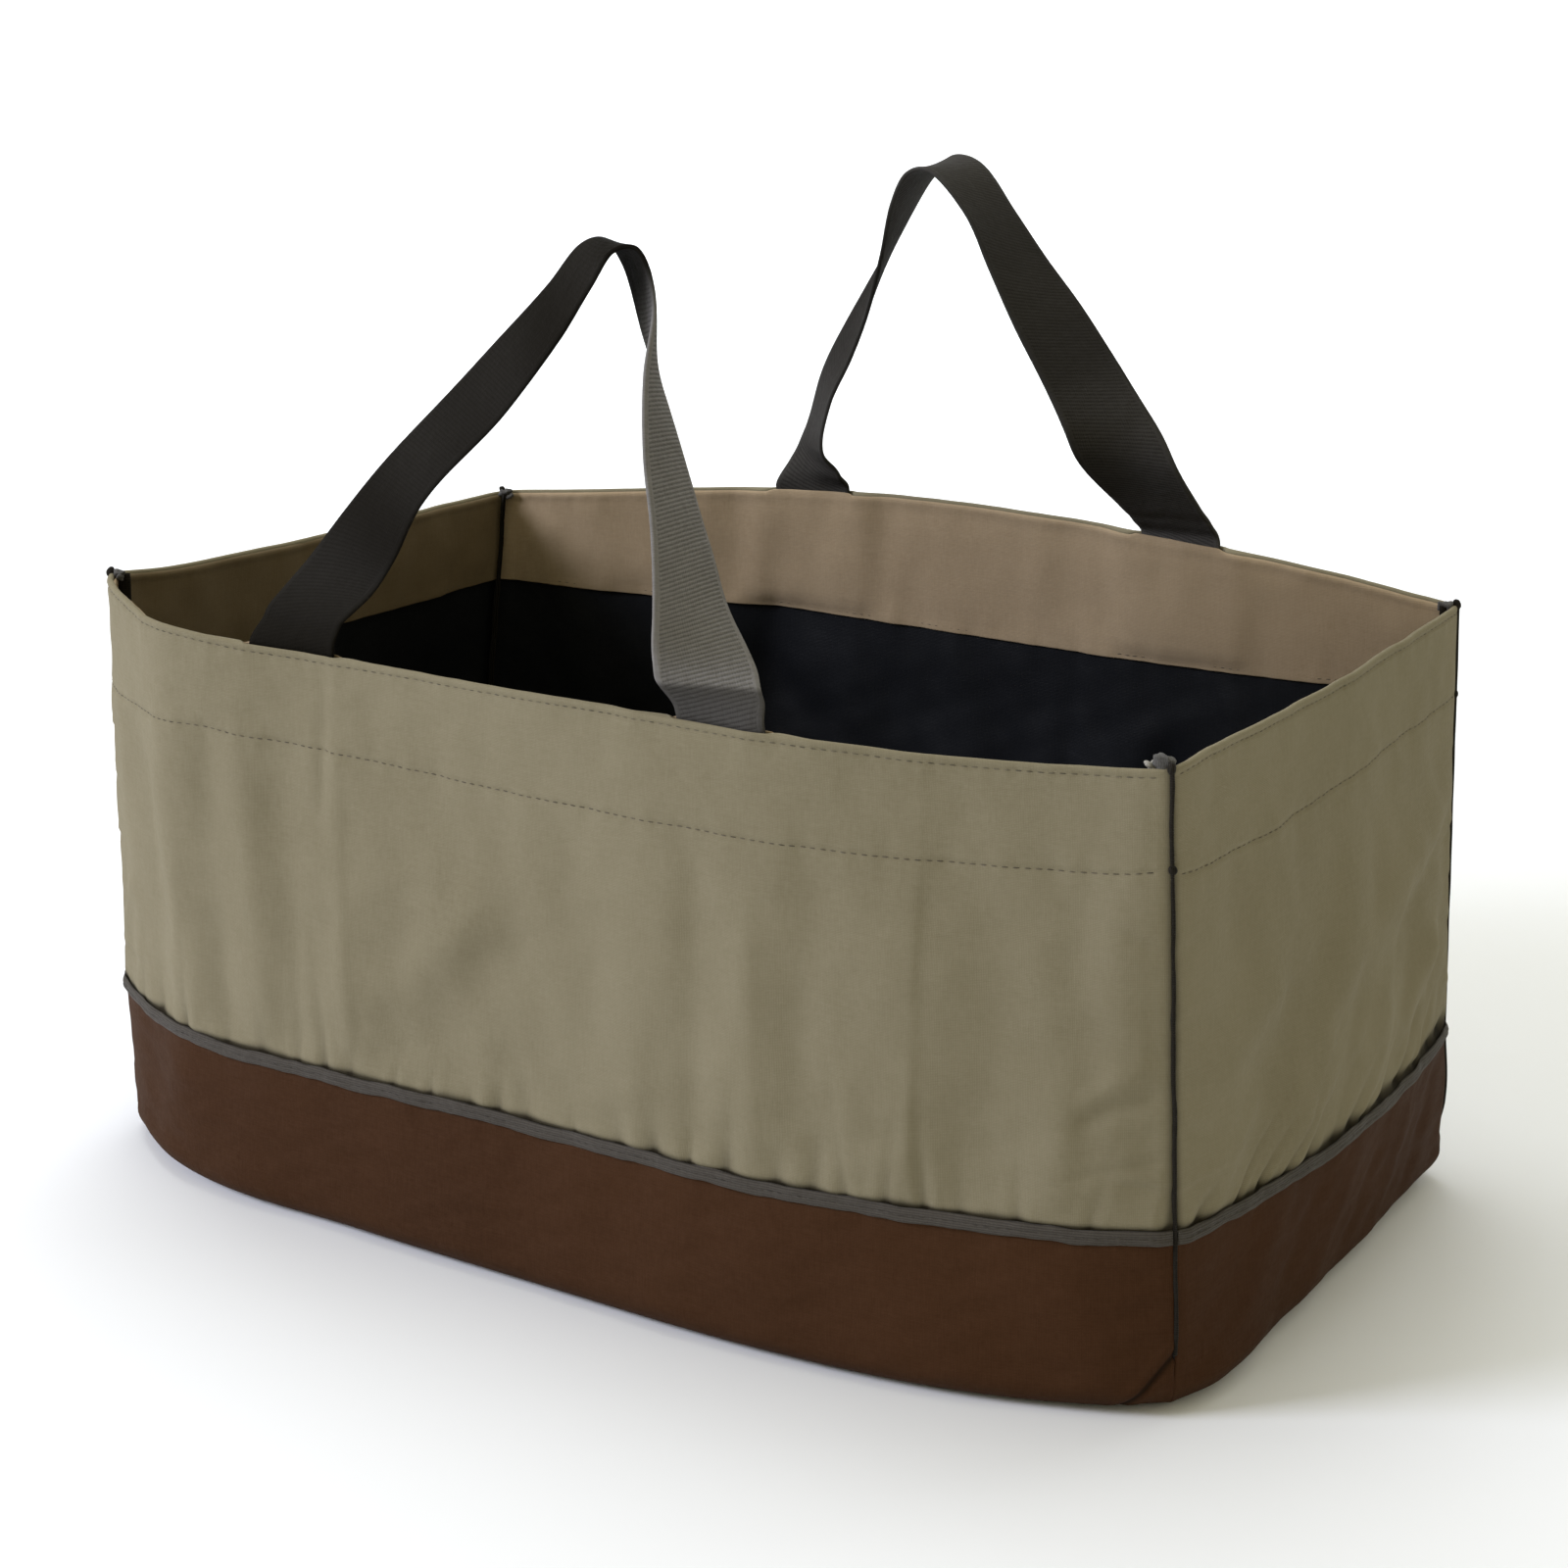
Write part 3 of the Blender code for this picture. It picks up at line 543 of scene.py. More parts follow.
def wall_face(wall, along, z, depth=0.0):
    """A point on the folded wall, at a depth behind its outer face."""
    shape = np.broadcast(along, z, depth)
    along, z, depth = (np.broadcast_to(np.asarray(v, float), shape.shape) for v in (along, z, depth))
    move = depth - wall_relief(wall, along, z)
    return plain_wall(wall, along, z) + wall_inward(wall, along, z) * move[..., None]


def pocket(wall, x):
    """Space between a wall and its hem facing, opened by a strap tail."""
    wide = np.full_like(x, LAYER_GAP)
    for foot in FEET.get(wall, ()):
        reach = (np.abs(x - foot) - 0.5 * STRAP_WIDE - POCKET_FLAT) / POCKET_EASE
        room = WEBBING + 2.0 * POCKET_GAP - LAYER_GAP
        wide = np.maximum(wide, LAYER_GAP + room * (1.0 - ease(reach)))
    return wide


def at_strap(wall, x, margin=0.0012, soft=0.0035):
    """1 where a strap leaves the rim, 0 elsewhere."""
    share = np.zeros_like(x)
    for foot in FEET.get(wall, ()):
        share = np.maximum(share, 1.0 - ease((np.abs(x - foot) - 0.5 * STRAP_WIDE - margin) / soft))
    return share


# Meshes

def surface_normals(points, away):
    """Unit normals of a grid of points, on the side of the plan or space point away."""
    across = np.gradient(points, axis=1)
    up = np.gradient(points, axis=0)
    normal = np.cross(across, up)
    normal /= np.maximum(np.linalg.norm(normal, axis=2, keepdims=True), 1e-12)
    sign = float(np.sum((points - np.asarray(away)) * normal))
    return normal if sign > 0.0 else -normal


def make_object(name, verts, faces, uvs, materials, indices=None, shade=None):
    mesh = bpy.data.meshes.new(name)
    mesh.from_pydata((verts + np.array(MIDDLE)).tolist(), [], faces)
    mesh.polygons.foreach_set("use_smooth", [True] * len(mesh.polygons))
    for material in materials:
        mesh.materials.append(material)
    if indices is not None:
        mesh.polygons.foreach_set("material_index", np.asarray(indices, np.int32))
    loops = np.zeros(len(mesh.loops), np.int32)
    mesh.loops.foreach_get("vertex_index", loops)
    layer = mesh.uv_layers.new(name="cloth")
    layer.data.foreach_set("uv", np.asarray(uvs, np.float32)[loops].ravel())
    values = np.zeros(len(verts), np.float32) if shade is None else np.asarray(shade, np.float32)
    # Point attribute of painted shade: how far each point's colour is darkened towards the shade colour.
    mesh.attributes.new("painted_shade", "FLOAT", "POINT").data.foreach_set("value", values.ravel())
    mesh.validate()
    mesh.update()
    obj = bpy.data.objects.new(name, mesh)
    bpy.context.scene.collection.objects.link(obj)
    return obj


def run_along(points):
    """Length from the first point of a line to each of its points."""
    return np.concatenate(([0.0], np.cumsum(np.linalg.norm(np.diff(points, axis=0), axis=1))))


def pair(first, second):
    """Two coordinates of each point, from grids, rows or columns."""
    return np.stack(np.broadcast_arrays(first, second), -1)


def tube_faces(rings, sides):
    """Faces of a closed tube of rings, with a cap at each end."""
    faces = []
    for r in range(rings - 1):
        for k in range(sides):
            a, b = r * sides + k, r * sides + (k + 1) % sides
            faces.append((a, b, b + sides, a + sides))
    return faces + [tuple(range(sides))[::-1], tuple(range((rings - 1) * sides, rings * sides))]


def grid_faces(rows, cols, offset=0, flip=False):
    k = (np.arange(rows - 1)[:, None] * cols + np.arange(cols - 1)[None, :]).ravel() + offset
    quads = np.stack((k, k + 1, k + cols + 1, k + cols), 1)
    return quads[:, ::-1] if flip else quads


def shell(name, points, thick, uv, materials, away=(0.0, 0.0, 0.13), shade=0.0, both=False, round_edge=0.4):
    """A sheet with thickness and rounded edges. A second material is for its far side."""
    rows, cols = points.shape[:2]
    normal = surface_normals(points, away)
    deep = np.broadcast_to(thick, (rows, cols))[..., None]
    thick = float(np.max(thick))
    outer = points + normal * (0.5 * deep if both else 0.0)
    back = points - normal * (0.5 * deep if both else deep)
    test = np.cross(outer[0, 1] - outer[0, 0], outer[1, 0] - outer[0, 0]) @ normal[0, 0]
    flip = test < 0.0
    count = rows * cols
    verts = [outer.reshape(-1, 3), back.reshape(-1, 3)]
    quads = [grid_faces(rows, cols, 0, flip), grid_faces(rows, cols, count, not flip)]
    mats = [np.zeros(len(quads[0]), int), np.full(len(quads[1]), len(materials) - 1)]
    flat = np.arange(count).reshape(rows, cols)
    loop = np.concatenate((flat[0, :-1], flat[:-1, -1], flat[-1, :0:-1], flat[:0:-1, 0]))
    near = np.concatenate((flat[1, :-1], flat[:-1, -2], flat[-2, :0:-1], flat[:0:-1, 1]))
    o, b = outer.reshape(-1, 3), back.reshape(-1, 3)
    out = o[loop] - o[near]
    out /= np.maximum(np.linalg.norm(out, axis=1, keepdims=True), 1e-12)
    verts.append(0.5 * (o[loop] + b[loop]) + out * round_edge * thick)
    mid = 2 * count + np.arange(len(loop))
    nxt = np.roll(np.arange(len(loop)), -1)
    for first, second in ((loop, mid), (mid, loop + count)):
        ring = np.stack((first, second, second[nxt], first[nxt]), 1)
        quads.append(ring[:, ::-1] if flip else ring)
        mats.append(np.zeros(len(ring), int))
    uv = uv.reshape(-1, 2)
    uvs = np.concatenate((uv, uv, uv[loop]))
    painted_shade = np.broadcast_to(shade, (rows, cols)).reshape(-1)
    painted_shade = np.concatenate((painted_shade, painted_shade, painted_shade[loop]))
    return make_object(name, np.concatenate(verts), np.concatenate(quads).tolist(), uvs, materials,
                       np.concatenate(mats), painted_shade)


def dress(obj, nodes):
    """Attaches one piece to the root body and hides the solids that it replaces."""
    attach(obj, "root")
    if nodes:
        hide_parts(*nodes)


def cloth_piece(name, points, thick, uv, materials, slot, flat=None, held="stretched", rests=(), area=None,
                **form):
    """A shell that takes the place of the solid of the same name."""
    dress(shell(name, points, thick, uv, materials, **form), [name])


def stitch_row(name, points, normals, material, pitch=STITCH_PITCH, long=STITCH_LONG,
               thick=STITCH_THICK, lift=0.00016, jitter=0.10, seed=5):
    """A row of short thread stitches along a line, as one mesh."""
    rng = np.random.default_rng(seed)
    run = run_along(points)
    places = np.arange(0.5 * pitch, run[-1] - 0.5 * pitch, pitch)
    places = places + rng.uniform(-jitter, jitter, len(places)) * (pitch - long)

    def at(s, table):
        return np.stack([np.interp(s, run, table[:, k]) for k in range(3)], 1)

    normal = at(places, normals)
    normal /= np.linalg.norm(normal, axis=1, keepdims=True)
    rings = (-0.5, -0.44, -0.22, 0.0, 0.22, 0.44, 0.5)
    fat = (0.25, 0.75, 1.0, 1.0, 1.0, 0.75, 0.25)
    rise = (-0.9, -0.35, 0.35, 0.55, 0.35, -0.35, -0.9)
    sides = 6
    verts = []
    for share, size, up in zip(rings, fat, rise):
        spot = at(places + share * long, points) + normal * (lift + up * 0.5 * thick)
        along = at(places + 0.5 * long, points) - at(places - 0.5 * long, points)
        along /= np.maximum(np.linalg.norm(along, axis=1, keepdims=True), 1e-12)
        side = np.cross(along, normal)
        for k in range(sides):
            turn = 6.28318 * k / sides
            verts.append(spot + (side * math.cos(turn) + normal * math.sin(turn)) * 0.5 * thick * size)
    verts = np.stack(verts, 1)
    count, each = verts.shape[:2]
    faces = tube_faces(len(rings), sides)
    faces = [tuple(n * each + v for v in face) for n in range(count) for face in faces]
    flat = verts.reshape(-1, 3)
    uvs = np.stack((np.repeat(places, each), flat[:, 2]), 1)
    dress(make_object(name, flat, faces, uvs, [material]), ())


# Finishes

class Net:
    """A material's node tree, built from short calls."""

    def __init__(self, name):
        self.material = bpy.data.materials.new(name)
        self.material.use_nodes = True
        self.tree = self.material.node_tree
        self.shader = self.tree.nodes["Principled BSDF"]

    def add(self, kind, ins, out=0, **settings):
        node = self.tree.nodes.new(kind)
        for key, value in settings.items():
            setattr(node, key, value)
        for key, value in ins.items():
            if isinstance(value, bpy.types.NodeSocket):
                self.tree.links.new(value, node.inputs[key])
            else:
                node.inputs[key].default_value = value
        return node.outputs[out]

    def math(self, operation, a, b=0.0):
        return self.add("ShaderNodeMath", {0: a, 1: b}, operation=operation)

    def mix(self, share, a, b, blend="MIX"):
        return self.add("ShaderNodeMix", {0: share, 6: a, 7: b}, 2, data_type="RGBA", blend_type=blend)

    def spread(self, value, low, high, to_low, to_high):
        return self.add("ShaderNodeMapRange", {0: value, 1: low, 2: high, 3: to_low, 4: to_high})

    def noise(self, vector, scale, detail=3.0, rough=0.55):
        ins = {"Vector": vector, "Scale": scale, "Detail": detail, "Roughness": rough}
        return self.add("ShaderNodeTexNoise", ins)

    def place(self, vector, scale, turn=0.0):
        return self.add("ShaderNodeMapping", {"Vector": vector, "Scale": scale, "Rotation": (0.0, 0.0, turn)})

    def bands(self, vector, scale, direction, wander=0.6):
        ins = {"Vector": vector, "Scale": scale, "Distortion": wander, "Detail": 1.0, "Detail Scale": 1.5}
        return self.add("ShaderNodeTexWave", ins, 1, wave_type="BANDS", bands_direction=direction)

    def bump(self, height, strength, distance, normal=None):
        ins = {"Strength": strength, "Distance": distance, "Height": height}
        if normal is not None:
            ins["Normal"] = normal
        return self.add("ShaderNodeBump", ins)


def fabric(name, deep, main, pale, pitch, weave="plain", relief=0.5, rough=(0.78, 0.92), sheen=0.2,
           sheen_tint=(1.0, 1.0, 1.0), painted_shade_colour=None, turn=0.0, edge=None, gloss=0.14):
    """A woven cloth: threads, slubs, soft patches of colour and painted shade, which darkens places towards a
    shade colour.
    """
    net = Net(name)
    uv = net.add("ShaderNodeUVMap", {}, uv_map="cloth")
    body = net.add("ShaderNodeTexCoord", {}, 3)
    # Blender's bands repeat each 0.314 units, so this gives one band for each thread.
    scale = 0.314 / pitch
    if weave == "plain":
        warp = net.bands(net.place(uv, (scale, scale * 0.5, 1.0)), 1.0, "X")
        weft = net.bands(net.place(uv, (scale * 0.5, scale, 1.0)), 1.0, "Y")
        threads = net.math("MULTIPLY", warp, weft)
    else:
        twill = net.bands(net.place(uv, (scale, scale, 1.0), turn), 1.0, "X", 0.5)
        cross = net.bands(net.place(uv, (scale * 2.1, scale * 0.4, 1.0), turn + 1.2), 1.0, "X", 0.5)
        threads = net.math("ADD", net.math("MULTIPLY", twill, 0.8), net.math("MULTIPLY", cross, 0.2))
    if edge:
        # The woven edges lie smooth on both sides of the ribs.
        across = net.math("ABSOLUTE", net.add("ShaderNodeSeparateXYZ", {"Vector": uv}))
        flat = net.spread(across, edge, edge + 0.0006, 0.0, 1.0)
        threads = net.add("ShaderNodeMix", {0: flat, 2: threads, 3: 0.62})
    slub_u = net.noise(net.place(uv, (90.0, 1500.0, 1.0)), 1.0, 2.0)
    slub_v = net.noise(net.place(uv, (1500.0, 90.0, 1.0)), 1.0, 2.0)
    slubs = net.math("ADD", net.math("MULTIPLY", slub_u, 0.5), net.math("MULTIPLY", slub_v, 0.5))
    patches = net.noise(body, 7.0, 4.0, 0.6)
    grain = net.noise(body, 420.0, 3.0, 0.7)
    base = net.mix(net.spread(patches, 0.30, 0.70, 0.0, 1.0), (*deep, 1.0), (*main, 1.0))
    fine = net.math("ADD", net.math("MULTIPLY", slubs, 0.6), net.math("MULTIPLY", grain, 0.4))
    base = net.mix(net.spread(fine, 0.36, 0.66, 0.0, 0.42), base, (*pale, 1.0))
    gap = net.spread(threads, 0.05, 0.55, 0.58 if weave != "plain" else 0.86, 1.0)
    base = net.mix(1.0, base, gap, "MULTIPLY")
    # Painted shade: the point attribute darkens the colour towards the shade colour where the cloth lies in
    # shade.
    painted_shade = net.add("ShaderNodeAttribute", {}, 2, attribute_name="painted_shade", attribute_type="GEOMETRY")
    base = net.mix(painted_shade, base, (*(painted_shade_colour or tuple(0.45 * c for c in deep)), 1.0))
    net.tree.links.new(base, net.shader.inputs["Base Color"])
    net.tree.links.new(net.spread(fine, 0.3, 0.7, rough[1], rough[0]), net.shader.inputs["Roughness"])
    net.shader.inputs["Specular IOR Level"].default_value = gloss
    net.shader.inputs["Sheen Weight"].default_value = sheen
    net.shader.inputs["Sheen Roughness"].default_value = 0.45
    net.shader.inputs["Sheen Tint"].default_value = (*sheen_tint, 1.0)
    normal = net.bump(threads, net.spread(painted_shade, 0.0, 0.9, 0.55 * relief, 0.20 * relief), 0.00025)
    normal = net.bump(slubs, 0.35 * relief, 0.0006, normal)
    normal = net.bump(net.noise(body, 46.0, 3.0, 0.6), 0.30 * relief, 0.0022, normal)
    net.tree.links.new(normal, net.shader.inputs["Normal"])
    return net.material


KHAKI = fabric("canvas_khaki", (0.178, 0.154, 0.096), (0.219, 0.192, 0.126), (0.270, 0.240, 0.165),
               0.00062, sheen=0.04, sheen_tint=(1.0, 0.92, 0.70), painted_shade_colour=(0.018, 0.014, 0.008),
               gloss=0.09)
BROWN = fabric("canvas_brown", (0.037, 0.0152, 0.0060), (0.050, 0.0210, 0.0084), (0.074, 0.034, 0.0155),
               0.00060, relief=0.45, rough=(0.66, 0.84), sheen=0.0,
               painted_shade_colour=(0.008, 0.005, 0.003), gloss=0.07)
LINING = fabric("hem_facing", (0.285, 0.210, 0.130), (0.366, 0.277, 0.177), (0.438, 0.342, 0.228),
                0.00062, sheen=0.06, sheen_tint=(1.0, 0.90, 0.75), painted_shade_colour=(0.060, 0.043, 0.016))
COATING = fabric("inner_coating", (0.0045, 0.0050, 0.0062), (0.0070, 0.0078, 0.0096), (0.014, 0.015, 0.018),
                 0.00070, relief=0.5, rough=(0.38, 0.62), sheen=0.0)
TAPE = fabric("trim_tape", (0.050, 0.043, 0.036), (0.064, 0.056, 0.048), (0.098, 0.088, 0.077),
              0.00095, "twill", relief=1.2, rough=(0.65, 0.85), sheen=0.04, turn=-1.57)
BINDING = fabric("seam_binding", (0.008, 0.0062, 0.0040), (0.012, 0.0095, 0.0062), (0.024, 0.020, 0.015),
                 0.00090, "twill", relief=1.0, sheen=0.03)
NUB = fabric("tape_end", (0.046, 0.044, 0.042), (0.080, 0.077, 0.074), (0.180, 0.174, 0.166),
             0.00070, "twill", relief=1.0, sheen=0.1)
# Pale colour of a painted highlight on the tip of the near tape end.
TIP = fabric("tape_tip", (0.240, 0.228, 0.205), (0.330, 0.315, 0.285), (0.460, 0.440, 0.400),
             0.00060, "twill", relief=1.0, sheen=0.1)
# Pale webbing colour where it is lit. Its shade colour is painted where it lies in shade.
WEBBING_CLOTH = fabric("webbing", (0.128, 0.122, 0.116), (0.176, 0.168, 0.162), (0.270, 0.259, 0.250),
                       0.0017, "twill", relief=2.2, rough=(0.72, 0.92), sheen=0.0, turn=1.27,
                       painted_shade_colour=(0.0062, 0.0052, 0.0037), edge=0.0165, gloss=0.03)


def thread(name, deep, main, pale):
    return fabric("thread_" + name, deep, main, pale, 0.00030, "twill", relief=0.6, sheen=0.1)


THREAD_DARK = thread("dark", (0.085, 0.070, 0.048), (0.110, 0.092, 0.066), (0.150, 0.128, 0.096))
THREAD_KHAKI = thread("khaki", (0.105, 0.090, 0.060), (0.135, 0.117, 0.082), (0.170, 0.150, 0.108))
THREAD_GREY = thread("grey", (0.050, 0.043, 0.036), (0.066, 0.058, 0.049), (0.090, 0.080, 0.070))


# Cloth pieces

def wall_rows(count):
    """Heights of a wall's rows as shares from the trim joint to just under the rim."""
    foot, top = BASE_TALL + JOINT_GAP, HEIGHT
    marks = [0.0, 0.004, 0.010, 0.026, 0.060, 0.110, HEM_LINE - 0.004 - foot, HEM_LINE + 0.004 - foot,
             0.165, top - foot - 0.0055, top - foot]
    weights = [4, 7, 11, 16, 17, 9, 13, 10, 5, 11]
    scale = count / sum(weights)
    shares = []
    for low, high, weight in zip(marks, marks[1:], weights):
        steps = max(int(round(weight * scale)), 2)
        shares += [low + (high - low) * k / steps for k in range(steps)]
    return np.array(shares + [top - foot]) / (top - foot)


def build_panel(wall, cells, count, flat):
    """Khaki wall: outer face, rounded rim and the short lip that turns over the hem."""
    foot = BASE_TALL + JOINT_GAP
    shares = wall_rows(count)
    columns = columns_of(cells)
    roll_foot = HEIGHT - RIM_ROLL
    rough_z = foot + (roll_foot - foot) * shares
    along = stations(wall, rough_z, columns)
    top = rim_height(wall, along) - RIM_ROLL
    # Rows follow the hem line and the rim, and run level below.
    raw = rough_z[:, None] * np.ones_like(along)
    hem_lift = hem_height(wall, along) - HEM_LINE
    rim_lift = top - roll_foot
    lower = hem_lift * ease((raw - 0.120) / (HEM_LINE - 0.120))
    upper = hem_lift + (rim_lift - hem_lift) * ease((raw - HEM_LINE) / (roll_foot - HEM_LINE))
    z = raw + np.where(raw < HEM_LINE, lower, upper)
    outer = wall_face(wall, along, z)
    x = outer[-1, :, 0]
    free = 1.0 - at_strap(wall, x)
    reach = 0.5 * (CANVAS + (pocket(wall, x) + FACING + 0.0002) * free)
    inward = wall_inward(wall, along[-1], z[-1])
    rows = [outer]
    uv_rows = [pair(along * length_at(wall, 0.13), z)]
    for angle in (20, 42, 66, 90, 114, 138, 160, 180):
        turn = math.radians(angle)
        row = outer[-1] + inward * (reach * (1.0 - math.cos(turn)))[:, None]
        row[:, 2] += RIM_ROLL * math.sin(turn)
        rows.append(row[None])
        uv_rows.append(uv_rows[0][-1:] + (0.0, 0.0013 * turn))
    for drop in (0.0008, 0.0018):
        row = outer[-1] + inward * (2.0 * reach)[:, None]
        row[:, 2] -= drop
        rows.append(row[None])
        uv_rows.append(uv_rows[0][-1:] + (0.0, 0.0041 + drop))
    points, uv = np.concatenate(rows), np.concatenate(uv_rows)
    rise = np.maximum(points[..., 2] - TAPE_TOP, 0.0)
    notch = np.zeros_like(along)
    span = length_at(wall, 0.5 * HEIGHT)
    for place, deep, wide, tall, lean in puckers(wall):
        lift = np.maximum(z - TAPE_TOP, 0.0)
        off = (along * span - place - lean * lift) / (0.7 * wide)
        notch += deep / 0.0023 * bell(off) * np.exp(-lift / (0.30 * tall))
    notch = np.concatenate((notch, np.zeros((len(points) - len(along), len(columns)))))
    side = np.minimum(columns, 1.0 - columns)[None, :] * span
    # Painted shade in the dark gap above the tape, in the puckers and along the corner seams.
    if wall == "right":
        wide = hang(columns)
    else:
        wide = 0.0016 + 0.0010 * np.clip(ripple(columns * span, 0.0, 35, 0.05), -0.3, 1.0)
    panel_shade = 0.92 * bell(rise / wide[None, :]) + 0.75 * notch + 0.55 * bell(side / 0.0016)
    thick = np.full(points.shape[:2], PANEL_SHELL)
    thick[len(outer) - 3:] = np.minimum(PANEL_SHELL, 0.62 * reach)
    below = "base_" + wall if wall in FEET else "base_cradle"
    cloth_piece("panel_" + wall, points, thick, uv, [KHAKI, COATING], "canvas_khaki", flat, "gathered",
                [below], shade=np.clip(panel_shade, 0, 1))


def build_facing(wall, cells, flat):
    """Inner strip of the folded hem."""
    columns = columns_of(cells)
    drops = np.array((0.0485, 0.0480, 0.0470, 0.0455, 0.0440, 0.0400, 0.0340, 0.0280, 0.0220,
                      0.0160, 0.0110, 0.0070, 0.0045, 0.0034, 0.0026, 0.0018))
    along = stations(wall, HEIGHT - drops, columns, 0.0030)
    top = rim_height(wall, along)
    hem = hem_height(wall, along)
    x = plain_wall(wall, along, top)[..., 0]
    mask = at_strap(wall, x)
    tall = top - hem + 0.0020
    z = top - np.where(drops[:, None] > 0.006, drops[:, None] * tall / 0.0485, drops[:, None])
    # Under a strap the strip reaches nearer to the rim.
    z[-1] += 0.0013 * mask[-1]
    z[-2] += 0.0010 * mask[-2]
    # Above the stitches the strip follows the wall, and the stitches pull it in below.
    depth = CANVAS + pocket(wall, x) * ease((z - hem) / 0.008 + 0.2) + FACING
    span = length_at(wall, 0.23)
    u = along * span
    depth = depth - 0.00045 * bell((z - hem) / 0.0013) + 0.0003 * ripple(u, z, 51, 0.04)
    edge = np.minimum(along, 1.0 - along) * span
    depth = depth + 0.0006 * (1.0 - ease(edge / 0.012))
    points = wall_face(wall, along, np.minimum(z, top - 0.0012), depth)
    points[..., 2] = z
    # The left end's facing has painted shade: its colour is darkened for the shade it lies in.
    cloth_piece("facing_" + wall, points, FACING_SHELL, pair(u, z), [LINING], "hem_facing", flat, "folded",
                ["panel_" + wall], shade=0.68 if wall == "left" else 0.0)


def base_path(steps_up=44, steps_round=14, steps_lip=5):
    """Outer path of the brown cloth from the joint down and under: inset and height."""
    top = BASE_TALL - JOINT_GAP
    path = [(0.0, top + (FOOT_ROUND - top) * k / steps_up) for k in range(steps_up)]
    for k in range(steps_round + 1):
        turn = 0.5 * math.pi * k / steps_round
        path.append((FOOT_ROUND * (1.0 - math.cos(turn)), FOOT_ROUND * (1.0 - math.sin(turn))))
    path += [(FOOT_ROUND + LIP * k / steps_lip, 0.0) for k in range(1, steps_lip + 1)]
    return np.array(path)


def base_rows(wall, path, columns):
    """Grid of points of the brown cloth on one wall, row by row down the path."""
    inset, z = path[:, 0], path[:, 1]
    clear = 0.00012 + (SEAM_CLEAR - 0.00012) * ease((z - 0.012) / 0.012)
    along = stations(wall, z, columns, clear)
    level = z[:, None] * np.ones_like(along)
    points = raised_wall(wall, along, level, base_relief(wall, along, level), inset[:, None])
    points = soften_foot(points, WALLS[wall][:2])
    run = np.concatenate(([0.0], np.cumsum(np.hypot(*np.diff(path, axis=0).T))))
    return points, pair(along * length_at(wall, 0.04), -run[:, None]), along


def build_base(wall, cells, flat):
    """Brown band on a long wall, rounded under the bag."""
    path = base_path()
    points, uv, along = base_rows(wall, path, columns_of(cells))
    # Painted shade: darker near the ground and along the crease of the slanted corner seam.
    low = np.clip(1.0 - points[..., 2] / 0.010, 0.0, 1.0)
    shade = 0.25 * low * (0.6 + 0.4 * ripple(uv[..., 0], uv[..., 1], 61, 0.05))
    span = length_at(wall, FOOT_ROUND)
    shade = shade + 0.85 * bell(corner_seam(along * span, span, path[:, 1:]) / 0.0010)
    cloth_piece("base_" + wall, points, BASE_CLOTH, uv, [BROWN, COATING], "canvas_brown", flat, "stretched",
                ["base_cradle"], shade=np.clip(shade, 0, 1))


def build_cradle(cells, across, flat):
    """One length of brown cloth: left end band, bottom and right end band."""
    path = base_path()
    columns = columns_of(across)
    left, right = (base_rows(wall, path, columns)[0] for wall in ("left", "right"))
    under = FOOT_ROUND + LIP + 0.0004
    share = np.linspace(0.0, 1.0, cells + 1)
    front = plain_wall("front", share, 0.0, under)
    back = plain_wall("back", share, 0.0, under)
    bottom = front[:, None] + (back - front)[:, None] * columns[None, :, None]
    # The bottom meets the end bands without a step.
    for k, band in ((0, left), (-1, right)):
        off = band[-1] - bottom[k]
        fade = np.exp(-np.arange(cells + 1) / 2.0)
        fade = fade if k == 0 else fade[::-1]
        bottom = bottom + fade[:, None, None] * off[None]
    bottom[..., 2] = 0.0
    points = np.concatenate((left, bottom[1:-1], right[::-1]))
    run = run_along(points[:, across // 2])
    uv = pair(columns[None, :] * DEPTH, run[:, None])
    # Painted shade: darker near the ground.
    shade = 0.25 * np.clip(1.0 - points[..., 2] / 0.010, 0.0, 1.0)
    cloth_piece("base_cradle", points, BASE_CLOTH, uv, [BROWN, COATING], "canvas_brown", flat,
                away=(0, 0, 0.05), shade=shade)


def tape_wander(u):
    """How far the tape's line strays up and down along a wall."""
    return 0.00045 * ripple(u, 0.0, 71, 0.045) + 0.00018 * ripple(u, 0.0, 72, 0.016)


def build_trim(wall, cells, flat, area):
    """Ribbed tape over the joint, slightly domed, with both edges turned to the cloth."""
    shares = np.array((0.0, 0.04, 0.12, 0.22, 0.34, 0.44, 0.50, 0.56, 0.66, 0.78, 0.88, 0.96, 1.0))
    columns = columns_of(cells)
    tall = TAPE_TOP - TAPE_LOW
    along = stations(wall, TAPE_LOW + tall * shares, columns, 0.0012)
    span = length_at(wall, BASE_TALL)
    u = along * span
    z = TAPE_LOW + tall * shares[:, None] + tape_wander(u) * ease(np.minimum(u, span - u) / 0.02)
    dome = 1.0 - np.abs(2.0 * shares - 1.0) ** 3.0
    out = 0.0012 + 0.0009 * dome[:, None] - 0.00035 * bell((shares[:, None] - 0.5) / 0.06)
    out = out + 0.00035 * ripple(u, z, 73, 0.03)
    for place, deep, wide, *_ in puckers(wall):
        out = out - 0.22 * deep * bell((u - place) / (1.4 * wide)) * shares[:, None]
    edge = np.minimum(u, span - u)
    out = out * (0.35 + 0.65 * ease(edge / 0.007)) - SEAM_TUCK * (1.0 - ease(edge / SEAM_EASE))
    points = raised_wall(wall, along, z, out)
    cloth_piece("trim_" + wall, points, TRIM_SHELL, pair(u, z), [TAPE], "trim_tape", flat, "stretched",
                ["panel_" + wall], area)


